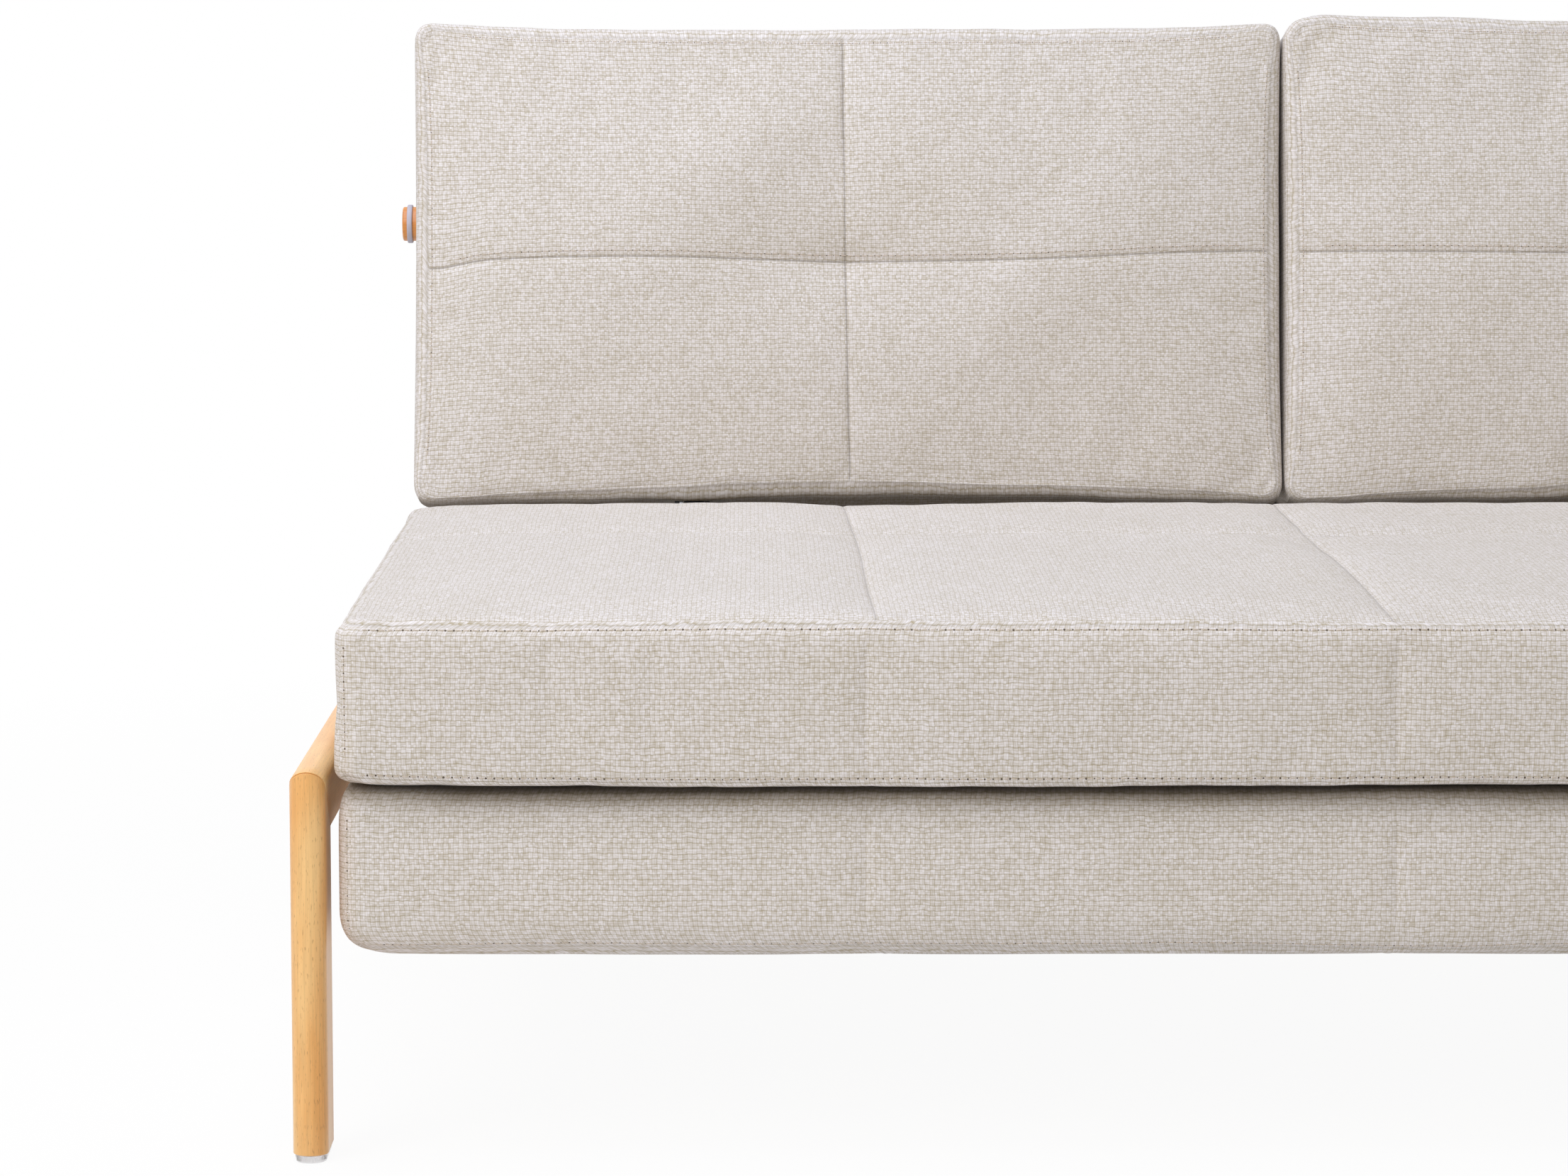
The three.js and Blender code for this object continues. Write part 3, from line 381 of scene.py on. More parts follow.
def beech_grain(name, pale, honey, fleck, spread=1.0):
    material, tree = new_material(name)
    edges = [0.5 - 0.16 * spread, 0.5 + 0.16 * spread]
    board = add_node(tree, "ShaderNodeMapRange", [streaks(tree, CLOUD, 3, 0.4), *edges])
    tone = add_node(tree, "ShaderNodeMix", {"Factor": board, 6: linear(pale), 7: linear(honey)},
                    data_type="RGBA")
    fine = streaks(tree, LINE, 2)
    lines = add_node(tree, "ShaderNodeMapRange", [fine, 0.35, 0.7, 1.05, 0.9])
    lined = add_node(tree, "ShaderNodeVectorMath", {0: tone.outputs[2], "Scale": lines},
                     operation="SCALE")
    specks = add_node(tree, "ShaderNodeMapRange", [streaks(tree, FLECK, 1), 0.63, 0.72, 0, 0.55])
    flecked = add_node(tree, "ShaderNodeMix", {"Factor": specks, 6: lined, 7: linear(fleck)},
                       data_type="RGBA")
    bump = add_node(tree, "ShaderNodeBump", {
        "Height": fine, "Distance": 0.05 * MM, "Strength": 0.5,
    })
    wood = add_node(tree, "ShaderNodeBsdfPrincipled", {
        "Base Color": flecked.outputs[2], "Roughness": 0.42, "IOR": 1.5, "Coat Weight": 0.35,
        "Coat Roughness": 0.28, "Normal": bump,
    })
    add_node(tree, "ShaderNodeOutputMaterial", {"Surface": wood})
    return material


lacquered_beech = beech_grain("lacquered_beech", "#fbcd88", "#edad60", "#ab743e")
stained_beech = beech_grain("stained_beech", "#e89c4b", "#d28339", "#8a5323")
print("beech, clear and stained")

# %% [markdown]
# ## Metals, plastics, foam and slats
# Underneath, the frame is square steel tube in black powder coat: a hard, slightly
# pebbled skin with a low sheen. Pins, links and discs are zinc-plated steel, a grey metal
# with cloudy patches. The feet have clear plastic glides, the dowel a pale rubber ring, and
# the support leg black rubber feet. The foam is cut polyurethane with fine open cells, the
# slats are birch veneers glued flat.

# %% Metals and plastics
def speckled(name, first, second, grain, relief=0.0, **shader):
    material, tree = new_material(name)
    place = add_node(tree, "ShaderNodeTexCoord")
    spots = add_node(tree, "ShaderNodeTexNoise", {
        "Vector": place.outputs["Object"], "Scale": 1 / (grain * MM), "Detail": 3,
    })
    tone = add_node(tree, "ShaderNodeMix", {"Factor": spots, 6: linear(first), 7: linear(second)},
                    data_type="RGBA")
    inputs = {key.replace("_", " "): value for key, value in shader.items()}
    if relief:
        inputs["Normal"] = add_node(tree, "ShaderNodeBump", {
            "Height": spots, "Distance": relief * MM, "Strength": 0.6,
        })
    surface = add_node(tree, "ShaderNodeBsdfPrincipled", {"Base Color": tone.outputs[2], **inputs})
    add_node(tree, "ShaderNodeOutputMaterial", {"Surface": surface})
    return material


powder_coated_steel = speckled("powder_coated_steel", "#242426", "#323234", 1.4, 0.12,
                               Roughness=0.48, IOR=1.5)
zinc_plated_steel = speckled("zinc_plated_steel", "#a4a6a8", "#c2c4c6", 18, Roughness=0.33,
                             Metallic=1.0)
pale_rubber = speckled("pale_rubber", "#b8b4c0", "#c8c4cf", 4, Roughness=0.6, IOR=1.52)
black_rubber = speckled("black_rubber", "#181818", "#242424", 2, 0.05, Roughness=0.8, IOR=1.52)
upholstery_foam = speckled("upholstery_foam", "#efe5c4", "#e2d6b0", 1.6, 0.4, Roughness=0.95)
clear_acrylic = speckled("clear_acrylic", "#e9e8ea", "#f3f2f3", 6, Roughness=0.12, IOR=1.49,
                         Transmission_Weight=0.7)
nylon_webbing = speckled("nylon_webbing", "#3c3c3f", "#505053", 1.2, 0.2, Roughness=0.8)
print("seven plain finishes")


# %% Birch slats
birch_ply = beech_grain("birch_ply", "#ecd9b4", "#e0c79a", "#c3a26f", 0.7)
print("birch")

# %% [markdown]
# ## Dress the steel
# The tubes, brackets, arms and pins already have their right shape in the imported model, so
# they stay. Each takes its finish. The slots in the record say which steel is which.

# %% Dress the steel
BLACK = ["rear_stretcher", "seat_front_tube", "seat_rear_tube", "seat_middle_tube",
         "lower_front_tube", "lower_rear_tube", "support_leg_bar", "back_post_middle",
         "cushion_rail"]
BLACK += [f"{stem}_{side}" for side in ("left", "right") for stem in (
    "seat_side_tube", "lift_arm", "hinge_bracket", "lower_side_tube", "support_leg",
    "hinge_arm", "back_post", "post_rail")]
ZINC = ["dowel_clip_middle"] + [f"{stem}_{side}" for side in ("left", "right") for stem in (
    "pivot_plate", "ratchet_disc", "fold_link", "dowel_clip")]
RUBBER = ["support_foot_left", "support_foot_right"]
GLIDES = [f"{end}_glide_{side}" for end in ("front", "rear") for side in ("left", "right")]

for names, material in ((BLACK, powder_coated_steel), (ZINC, zinc_plated_steel),
                        (RUBBER, black_rubber), (GLIDES, clear_acrylic)):
    for name in names:
        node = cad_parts[name]
        node.data.materials.clear()
        node.data.materials.append(material)
print(len(BLACK) + len(ZINC), "steel nodes dressed")


# %% [markdown]
# ## Making meshes
# Every piece here is a mesh of points and faces worked out in code. One function turns them
# into an object, lays a named map on it, and gives it a finish. Pieces are worked out in
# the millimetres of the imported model, measured from the front of the seat, so one more
# number moves them back to the middle of the object.

# %% Making meshes
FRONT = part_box("front_leg_left")[0].y / MM + 9  # the seat's front, 9 behind the leg's front


def make_piece(name, points, faces, material, uv=None, uv_name="cut", smooth=True, shade_marks=None):
    mesh = bpy.data.meshes.new(name)
    mesh.from_pydata([tuple(p) for p in np.asarray(points, float) * MM], [], faces)
    if uv is not None:
        layer = mesh.uv_layers.new(name=uv_name)
        layer.data.foreach_set("uv", np.asarray(uv, np.float32).ravel() * MM)
    # Painted shade of seams, folds and gaps goes into the attribute seam, by which the cloth is
    # drawn darker.
    if shade_marks is not None:
        mesh.attributes.new("seam", "FLOAT", "POINT").data.foreach_set("value", shade_marks)
    mesh.materials.append(material)
    mesh.polygons.foreach_set("use_smooth", [smooth] * len(mesh.polygons))
    mesh.update()
    piece = bpy.data.objects.new(name, mesh)
    bpy.context.scene.collection.objects.link(piece)
    return piece


def second_material(piece, material, kinds):
    piece.data.materials.append(material)
    piece.data.polygons.foreach_set("material_index", kinds)
    piece.data.update()


def attach(piece, body, slot, *nodes):
    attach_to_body(piece, body)
    if nodes:
        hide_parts(*nodes)


print("seat front at", round(FRONT, 2), "mm")

# %% [markdown]
# ## Rings of points
# A board, a slat, a stitch and a dowel are all the same thing to a mesh: one outline set
# down several times along a line. One function joins the rings with quads and closes both
# ends. Whether the rings run with the outline or against it decides which side is outside.

# %% Rings of points
def skin(rings, around, base=0, against=False, capped=True):
    faces = []
    for r in range(rings - 1):
        this_ring, next_ring = base + r * around, base + (r + 1) * around
        for i in range(around):
            j = (i + 1) % around
            faces.append((this_ring + i, this_ring + j, next_ring + j, next_ring + i))
    if capped:
        last = base + (rings - 1) * around
        faces += [tuple(range(base + around - 1, base - 1, -1)), tuple(range(last, last + around))]
    return [face[::-1] for face in faces] if against else faces


print(len(skin(2, 4)), "faces for a plain block")

# %% [markdown]
# ## Wooden side frames
# Each side frame is two legs and a rail of one section: flat inside and behind, with a
# rounded nose. They meet in mitres, where the two grains turn a corner. The nose could be a
# bevelled box, but a drawn section swept from cut to cut gives the true half ellipse, even
# grain, and softly broken edges at every cut.

# %% Wooden section
WOOD_WIDTH = 25
LEG_DEPTH, RAIL_DEPTH = 54, 48
NOSE = 12
BACK_ROUND = 3
NOSE_STEPS, BACK_STEPS = 28, 5


def wood_section(depth, nose):
    half = WOOD_WIDTH / 2
    turn = np.linspace(math.pi, 2 * math.pi, NOSE_STEPS)
    outline = [(half * math.cos(t), nose + nose * math.sin(t)) for t in turn]
    sides = np.linspace(nose, depth - BACK_ROUND, 5)[1:-1]
    outline += [(half, y) for y in sides]
    for centre, start in ((half - BACK_ROUND, 0), (BACK_ROUND - half, math.pi / 2)):
        for t in np.linspace(start, start + math.pi / 2, BACK_STEPS):
            outline.append((centre + BACK_ROUND * math.cos(t),
                            depth - BACK_ROUND + BACK_ROUND * math.sin(t)))
    outline += [(-half, y) for y in sides[::-1]]
    return np.array(outline)


print(len(wood_section(LEG_DEPTH, NOSE)), "points round the section")

# %% Swept board
CUT_ROUND, CUT_STEPS = 1.0, 4
BOARD_STEP = 24
END_GRAIN = (1.5, 8)  # end grain is drawn by stretching the map over the cut


def swept_board(depth, nose, length, start_slope, end_slope):
    outline = wood_section(depth, nose)
    rounds = np.linspace(0, math.pi / 2, CUT_STEPS)
    cut = [(CUT_ROUND * (1 - math.cos(t)), CUT_ROUND * (1 - math.sin(t))) for t in rounds]
    count = max(int(length / BOARD_STEP), 2)
    rings = cut + [(s, 0) for s in np.linspace(CUT_ROUND, length - CUT_ROUND, count)[1:-1]]
    rings += [(length - along, inset) for along, inset in reversed(cut)]
    centre = np.array([0, depth / 2])
    away = outline - centre
    reach = np.linalg.norm(away, axis=1, keepdims=True)
    points = []
    for along, inset in rings:
        ring = centre + away * (1 - inset / reach)
        low, high = start_slope * ring[:, 1], length - end_slope * ring[:, 1]
        z = low + (high - low) * (along / length)
        points += [(x, y, h) for (x, y), h in zip(ring, z)]
    edge = np.linalg.norm(np.roll(outline, -1, 0) - outline, axis=1)
    run = np.concatenate([[0], np.cumsum(edge)])
    faces = skin(len(rings), len(outline))
    uv = []
    for quad in faces[:-2]:
        start, end = run[quad[0] % len(outline)], run[quad[0] % len(outline) + 1]
        uv += [(u, points[corner][2]) for corner, u in zip(quad, (start, end, end, start))]
    uv += [(points[corner][0] * END_GRAIN[0], points[corner][1] * END_GRAIN[1])
           for cap in faces[-2:] for corner in cap]
    return np.array(points), faces, np.array(uv)


print("boards have a ring every", BOARD_STEP, "mm")

# %% Legs and rails
FOOT = 5.5
RAIL_TOP = 277.5
LEG_LENGTH = RAIL_TOP - FOOT - 0.4  # a little short, so that the mitre shows as a fine joint
FRAME_FRONT, FRAME_BACK = -9, 877
WOOD_MIDDLE = 747 + WOOD_WIDTH / 2
MITRE = RAIL_DEPTH / LEG_DEPTH
REAR_SHIFT, RAIL_SHIFT = 700, 1500  # each board is cut from another part of the grain

for side, sign in (("left", -1), ("right", 1)):
    for end, y, facing, shift in (("front", FRAME_FRONT, 1, 0),
                                  ("rear", FRAME_BACK, -1, REAR_SHIFT)):
        points, faces, uv = swept_board(LEG_DEPTH, NOSE, LEG_LENGTH, 0, MITRE)
        placed = points * (facing, facing, 1) + (sign * WOOD_MIDDLE, y + FRONT, FOOT)
        leg = make_piece(f"{end}_leg_board_{side}", placed, faces, lacquered_beech,
                         uv + (90 * sign, shift), "grain")
        attach(leg, "base", "beech", f"{end}_leg_{side}")
    points, faces, uv = swept_board(RAIL_DEPTH, NOSE * MITRE, FRAME_BACK - FRAME_FRONT,
                                    1 / MITRE, 1 / MITRE)
    corner = (sign * WOOD_MIDDLE, FRAME_FRONT + FRONT, RAIL_TOP)
    placed = points[:, [0, 2, 1]] * (1, 1, -1) + corner
    rail = make_piece(f"side_rail_board_{side}", placed, faces, lacquered_beech,
                      uv + (40 * sign, RAIL_SHIFT), "grain")
    attach(rail, "base", "beech", f"side_rail_{side}")
print("four legs, two rails")

# %% [markdown]
# ## Sewn boxes
# A seat layer and a back cushion are both sewn as a box: panels joined along seams, pulled
# over foam and fibre. A cube with a bevel would look like one, but it has no seams to gather
# the cloth. So the box is divided at stations, close together at edges and seams, and each
# point is then moved: edges are rounded, sides drawn in between the corners, seams sunk.
# The flat box's own measures stay with every point, as the map for the weave.

# %% Stations
EDGE_SHARES = (0, 0.1, 0.28, 0.5, 0.75, 1.0, 1.5)  # of the rounding, from an edge inward


def stations(low, high, low_round, high_round, seams, step, row=5.0):
    sides = [0] + [s * v for v in (1.0, row, 2 * row) for s in (-1, 1)]
    stops = [low + s * low_round for s in EDGE_SHARES]
    stops += [high - s * high_round for s in EDGE_SHARES]
    for seam in seams:
        stops = [s for s in stops if abs(s - seam) > 2 * row]
        stops += [seam + s for s in sides if low < seam + s < high]
    stops = sorted(set(round(s, 3) for s in [low, high, *stops]))
    spread = []
    for a, b in zip(stops, stops[1:]):
        count = max(1, math.ceil((b - a) / step))
        spread += list(np.linspace(a, b, count, endpoint=False))
    return spread + [high]


print("edges are divided at", EDGE_SHARES)


# %% Divided boxes
def divided_box(xs, ys, zs, keep=None):
    lists = [np.asarray(v, float) for v in (xs, ys, zs)]
    index, points, faces, uv = {}, [], [], []
    for axis, (a, b) in enumerate(((1, 2), (2, 0), (0, 1))):
        flat = ((1, 2), (0, 2), (0, 1))[axis]
        for end in (0, len(lists[axis]) - 1):
            for i in range(len(lists[a]) - 1):
                for j in range(len(lists[b]) - 1):
                    ring = [(i, j), (i + 1, j), (i + 1, j + 1), (i, j + 1)]
                    quad = []
                    for p, q in (ring if end else ring[::-1]):
                        key = [0, 0, 0]
                        key[axis], key[a], key[b] = end, p, q
                        quad.append(tuple(key))
                    spots = [[lists[m][k[m]] for m in range(3)] for k in quad]
                    if keep and not keep(np.mean(spots, axis=0), axis, end > 0):
                        continue
                    for key, spot in zip(quad, spots):
                        if key not in index:
                            index[key] = len(points)
                            points.append(spot)
                    faces.append(tuple(index[k] for k in quad))
                    uv += [(s[flat[0]], s[flat[1]]) for s in spots]
    return np.array(points), faces, np.array(uv)


print(len(divided_box([0, 1, 2], [0, 1], [0, 1])[0]), "points in a box of two cells")


# %% Rounding
def bow(radius, rest):
    return radius - np.sqrt(np.maximum(radius ** 2 - np.maximum(rest, 0) ** 2, 0))


def fade(value, limit, power):
    return 1 - np.minimum(np.abs(value / limit), 1) ** power


def near(distance, reach, power=2):
    return np.exp(-np.abs(distance / reach) ** power)


def round_box(points, size, plan, low, high, pull, pinch=0.0, ends=1.0):
    width, depth, height = size
    x, y, z = points.T.copy()
    dx = np.sign(x) * np.maximum(np.abs(x) - (width / 2 - plan), 0)
    dy = np.sign(y) * np.maximum(np.abs(y) - (depth / 2 - plan), 0)
    corner = (dx != 0) & (dy != 0)
    length = np.where(corner, np.hypot(dx, dy), 1)
    share = np.where(corner, np.maximum(np.abs(dx), np.abs(dy)) / length, 1)
    x, y = x - dx + dx * share, y - dy + dy * share
    under, over = bow(low, low - z), bow(high, high - (height - z))
    beside = 1 - pinch + pinch * fade(y, depth / 2, 5)
    above = 1 - pinch + pinch * fade(x, width / 2, 9)
    inset_x = (under + over * ends) * beside + pull * fade(y, depth / 2, 2)
    inset_y = (under + over) * above + pull * fade(x, width / 2, 2)
    return np.column_stack([x * (1 - inset_x / (width / 2)), y * (1 - inset_y / (depth / 2)), z])


print("half way down, an edge of 10 mm is drawn in by", round(float(bow(10, 5)), 2), "mm")


# %% Surface details
def point_normals(points, faces):
    quads = np.array(faces)
    ways = np.cross(points[quads[:, 2]] - points[quads[:, 0]],
                    points[quads[:, 3]] - points[quads[:, 1]])
    total = np.zeros_like(points)
    for k in range(4):
        np.add.at(total, quads[:, k], ways)
    return total / np.maximum(np.linalg.norm(total, axis=1, keepdims=True), 1e-9)


def crease(distance, depth, narrow=2.2, wide=9):
    return -depth * (0.55 * near(distance, narrow) + 0.45 * near(distance, wide))


def ripple(points, length, seed, stretch=(1, 1, 1)):
    scaled = points * np.array(stretch) / length + seed
    return np.array([noise.noise(Vector(p)) for p in scaled])


# The points of the mesh whose flat place is as given, in order, without the last few
# millimetres at both ends.
def mesh_line(flat, shape, along, margin, **at):
    chosen = np.ones(len(flat), bool)
    for axis, value in at.items():
        chosen &= np.abs(flat[:, "xyz".index(axis)] - value) < 0.01
    run = flat[:, "xyz".index(along)]
    chosen &= (run > run.min() + margin) & (run < run.max() - margin)
    chosen = np.flatnonzero(chosen)
    return shape[chosen[np.argsort(run[chosen])]]


print("a seam of 1 mm is", round(float(-crease(0, 1)), 2), "mm deep in its middle")

# %% [markdown]
# ## Swelling
# Padding pushes a sewn cover outward until the cloth holds it back. Cloth simulation gives
# that: seams and hidden sides are pinned, the cloth is cut a little too large, and air
# pressure swells it, without gravity. A soft limit keeps every point near its start.

# %% Swelling
SWELL_FRAMES = 9


def swell(points, faces, held, pressure, limit, slack):
    mesh = bpy.data.meshes.new("swelling")
    mesh.from_pydata([tuple(p) for p in points * MM], [], faces)
    balloon = bpy.data.objects.new("swelling", mesh)
    scene = bpy.context.scene
    scene.collection.objects.link(balloon)
    sewn = balloon.vertex_groups.new(name="sewn")
    sewn.add([int(i) for i in np.flatnonzero(held)], 1.0, "REPLACE")
    cloth = balloon.modifiers.new("cloth", "CLOTH").settings
    cloth.vertex_group_mass = "sewn"
    cloth.quality = 4
    cloth.use_pressure = True
    cloth.uniform_pressure_force = pressure
    cloth.shrink_min = -slack
    cloth.effector_weights.gravity = 0
    for number in range(1, SWELL_FRAMES + 1):
        scene.frame_set(number)
    swollen = balloon.evaluated_get(bpy.context.evaluated_depsgraph_get()).data
    moved = np.empty(3 * len(points), np.float32)
    swollen.vertices.foreach_get("co", moved)
    bpy.data.objects.remove(balloon)
    scene.frame_set(1)
    step = moved.reshape(-1, 3) / MM - points
    far = np.maximum(np.linalg.norm(step, axis=1, keepdims=True), 1e-6)
    print("swollen by up to", round(float(far.max()), 1), "mm, kept to", limit)
    return points + step / far * limit * np.tanh(far / limit)


print(SWELL_FRAMES, "steps of swelling")

# %% [markdown]
# ## Stitches
# A row of topstitching follows a seam a few millimetres away. The row is given as points
# near the cloth; each stitch is dropped onto the finished surface, turned along the row, and
# tucked in at both ends, with a needle hole between it and the next. No two holes are pulled
# open the same: those under load gape, others have almost closed.

# %% Stitches
STITCH_PITCH, STITCH_LENGTH = 5.9, 4.3
STITCH_STOPS = (0, STITCH_LENGTH, (STITCH_LENGTH + STITCH_PITCH) / 2)  # both ends, then the hole
THREAD_RADIUS, HOLE_RADIUS = 0.4, 0.95
SIDES = 6
STITCH_RINGS = ((0, 0.25, -0.5), (0.2, 0.95, 0.12), (0.5, 1, 0.3), (0.8, 0.95, 0.12),
                (1, 0.25, -0.5))
HOLE_RINGS = ((-0.3, 1.0), (0.12, 0.75))
HOLE_OPENING = (0.55, 1.15)  # how much the holes of one row differ


def circle(centre, first, second, radius):
    turns = [2 * math.pi * k / SIDES for k in range(SIDES)]
    return [centre + radius * (math.cos(t) * first + math.sin(t) * second) for t in turns]


def lay_stitches(name, surface, rows, body, pull):
    chance = np.random.default_rng(5)
    tree = BVHTree.FromObject(surface, bpy.context.evaluated_depsgraph_get())
    points, faces, kinds = [], [], []
    for row in rows:
        lengths = np.concatenate([[0], np.cumsum(np.linalg.norm(np.diff(row, axis=0), axis=1))])
        for start in np.arange(STITCH_PITCH / 2, lengths[-1] - STITCH_PITCH, STITCH_PITCH):
            wanted = [[np.interp(start + stop, lengths, row[:, axis]) for axis in range(3)]
                      for stop in STITCH_STOPS]
            spots = [tree.find_nearest(Vector(np.array(place) * MM)) for place in wanted]
            first, last, hole = (np.array(spot[0]) / MM for spot in spots)
            up, hole_up = np.array(spots[0][1]), np.array(spots[2][1])
            length = np.linalg.norm(last - first)
            if length < 1:
                continue
            way = (last - first) / length
            thread = [circle(first + way * length * share + up * THREAD_RADIUS * lift,
                             np.cross(up, way), up, THREAD_RADIUS * fat)
                      for share, fat, lift in STITCH_RINGS]
            opening = HOLE_RADIUS * pull * chance.uniform(*HOLE_OPENING)
            pit = [circle(hole + hole_up * lift, np.cross(hole_up, way), way, opening * fat)
                   for lift, fat in HOLE_RINGS]
            for kind, rings in enumerate((thread, pit)):
                made = skin(len(rings), SIDES, len(points))
                points += [point for ring in rings for point in ring]
                faces += made
                kinds += [kind] * len(made)
    piece = make_piece(name, points, faces, sewing_thread)
    second_material(piece, needle_hole_shade, kinds)
    attach(piece, body, "cloth")


print("stitches every", STITCH_PITCH, "mm")

# %% [markdown]
# ## Seat layers
# The upper layer is a foam slab in a cover with a front band, three seams from front to back
# and one across. Its underside is open, with the cloth turned in round the steel frame. The
# lower layer is the same thing upside down, because it turns over to make the bed. Each
# cover is a divided box without the middle of its open side, given thickness for the cloth
# and the fibre behind it. Slow noise gives the slight billow of cloth that has been sat on.

# %% Seat sizes
SEAT_WIDTH, SEAT_DEPTH = 1480, 760
UPPER_BOTTOM, UPPER_HEIGHT = 266, 114
LOWER_BOTTOM, LOWER_HEIGHT = 144, 118
LOWER_WIDTH = 1478
HALF_DEPTH = SEAT_DEPTH / 2
FRONT_FACE = -HALF_DEPTH
QUARTERS = (-370, 0, 370)
CROSS = 512 - HALF_DEPTH
LIP = 48  # how far the cloth is turned in round the open side
LINK_PLACE, LINK_FRONT = 600, 11  # where the fold links pass, and how far behind the front
NOTCH = 8  # half the width of the gap in the turned-in cloth where a fold link passes
PLAN_ROUND, TOP_ROUND, UNDER_ROUND = 16, 11, 12
LOWER_ROUND, LOWER_TOP_ROUND = 28, 22
BAND_SEAM = 6  # from the lower edge of a layer to the seam of its front band
EDGE_SEAM = 1.5  # the same at the top edge of the upper layer
ROW = 2.6  # from the seam of a front band to its stitches
COVER = 6.5
GRID = 12
print("grid of", GRID, "mm")

# %% Seams and billows
# Painted shade: the seams on top and the seams of the front band are drawn darker, as shade in
# their creases.
SEAM_SHADE_MARK, BAND_SHADE_MARK = 0.6, 0.3
SEAM_DEPTH, CROSS_DEPTH, BAND_DEPTH = 2.0, 1.8, 0.9
BILLOWS = ((170, 2.2), (60, 0.7))  # length and height of the slow and the quick waves
GATHER_LENGTH, GATHER_HEIGHT, GATHER_REACH = 24, 0.7, 16


def seam_shade_marks(flat, top, bands):
    x, y, z = flat.T
    on_top = (z == top) & ((np.isin(x, QUARTERS)) | (np.abs(y - CROSS) < 0.01))
    band = (y == FRONT_FACE) & np.isin(np.round(z, 3), bands)
    return np.where(on_top, SEAM_SHADE_MARK, 0) + np.where(band, BAND_SHADE_MARK, 0)


def layer_relief(flat, width, height, seed, top, bands):
    x, y, z = flat.T
    (slow, high), (quick, low) = BILLOWS
    soft = ripple(flat, slow, seed) * high + ripple(flat, quick, seed + 7) * low
    bumps = soft * fade(x, width / 2, 8) * np.where(z == height - top, 0.3, 1)
    band = np.minimum.reduce([crease(z - edge, BAND_DEPTH, 1.4, 5) for edge in bands])
    gathers = ripple(flat, GATHER_LENGTH, seed + 3, (1, 1, 0.35)) * GATHER_HEIGHT
    gathers *= near(height / 2 - np.abs(z - height / 2), GATHER_REACH)
    bumps += np.where(y == FRONT_FACE, band + gathers, 0)
    seams = [crease(x - quarter, SEAM_DEPTH, 1.4, 14) for quarter in QUARTERS]
    seams.append(crease(y - CROSS, CROSS_DEPTH, 1.4, 12))
    inward = np.clip((y - FRONT_FACE - 12) / 60, 0, 1)
    bumps *= np.where(z == 0, inward, 1)
    return bumps + np.where(z == top, np.minimum.reduce(seams) * inward, 0)


print("seams", SEAM_DEPTH, "mm deep")

# %% Seams that stray
SEAM_STARTS = (1, -3, -2)  # where the seams leave the front, seen from their straight places
SEAM_SLANT = 10.5  # how far they have moved sideways when they reach the rear
CROSS_BEND, CROSS_BEND_REACH = 14, 110  # how the cross seam turns forward at the sides
SEAM_REACH, CROSS_REACH = 60, 40  # how far beside a seam the cloth moves along with it
SEAM_WAVER, CROSS_WAVER = (0.8, 90), (2, 80)  # height of a slow sine, and its length over tau


def shift_seams(flat, shape, top, seed):
    x, y, z = flat.T
    behind = (y - FRONT_FACE) / SEAT_DEPTH
    (high, long), (cross_high, cross_long) = SEAM_WAVER, CROSS_WAVER
    for start, quarter in zip(SEAM_STARTS, QUARTERS):
        along = start - SEAM_SLANT * behind + high * np.sin(y / long + seed + start)
        shape[:, 0] += (z == top) * near(x - quarter, SEAM_REACH) * along
    side = np.maximum(np.abs(x) - SEAT_WIDTH / 2 + CROSS_BEND_REACH, 0) / CROSS_BEND_REACH
    across = CROSS_BEND * side ** 2 + cross_high * np.sin(x / cross_long + seed)
    shape[:, 1] -= (z == top) * near(y - CROSS, CROSS_REACH) * across


print("the seams slant by", SEAM_SLANT, "mm")


# %% Covers
ROW_END = 12  # a row of stitches stops this far from the ends of its seam


def dress_cover(piece, body, node):
    shell = piece.modifiers.new("cloth and fibre", "SOLIDIFY")
    shell.thickness, shell.offset = COVER * MM, -1
    fine = piece.modifiers.new("smooth", "SUBSURF")
    fine.levels = fine.render_levels = 1
    attach(piece, body, "cloth", node)


def band_rows(flat, shape, height, bands):
    levels = [band + (ROW if band < height / 2 else -ROW) for band in bands]
    rows = [mesh_line(flat, shape, "x", ROW_END, y=FRONT_FACE, z=level) for level in levels]
    side = flat[:, 0].max() - EDGE_SHARES[2] * PLAN_ROUND
    return rows + [mesh_line(flat, shape, "z", ROW_END, y=FRONT_FACE, x=x) for x in (-side, side)]


def link_notch(x, y):
    return abs(abs(x) - LINK_PLACE) < NOTCH and LINK_FRONT < y - FRONT_FACE < LINK_FRONT + LIP


print("covers", COVER, "mm thick")

# %% Upper layer's openings
BRACKET_SLOT = (484, 520)  # sideways, for the hinge brackets, at the rear
LIFT_ARM_SLOT = (710, 726)
SLOT_HEIGHTS = (8, 30)


def upper_keep(spot, axis, far):
    x, y, z = spot
    if axis == 2 and not far:
        inside = abs(x) < SEAT_WIDTH / 2 - LIP and abs(y) < HALF_DEPTH - LIP
        return not (inside or link_notch(x, y))
    if axis == 1 and far and SLOT_HEIGHTS[0] < z < SLOT_HEIGHTS[1]:
        return not any(low < abs(x) < high for low, high in (LIFT_ARM_SLOT, BRACKET_SLOT))
    return True


print("slots for a hinge bracket and a lift arm on each side")

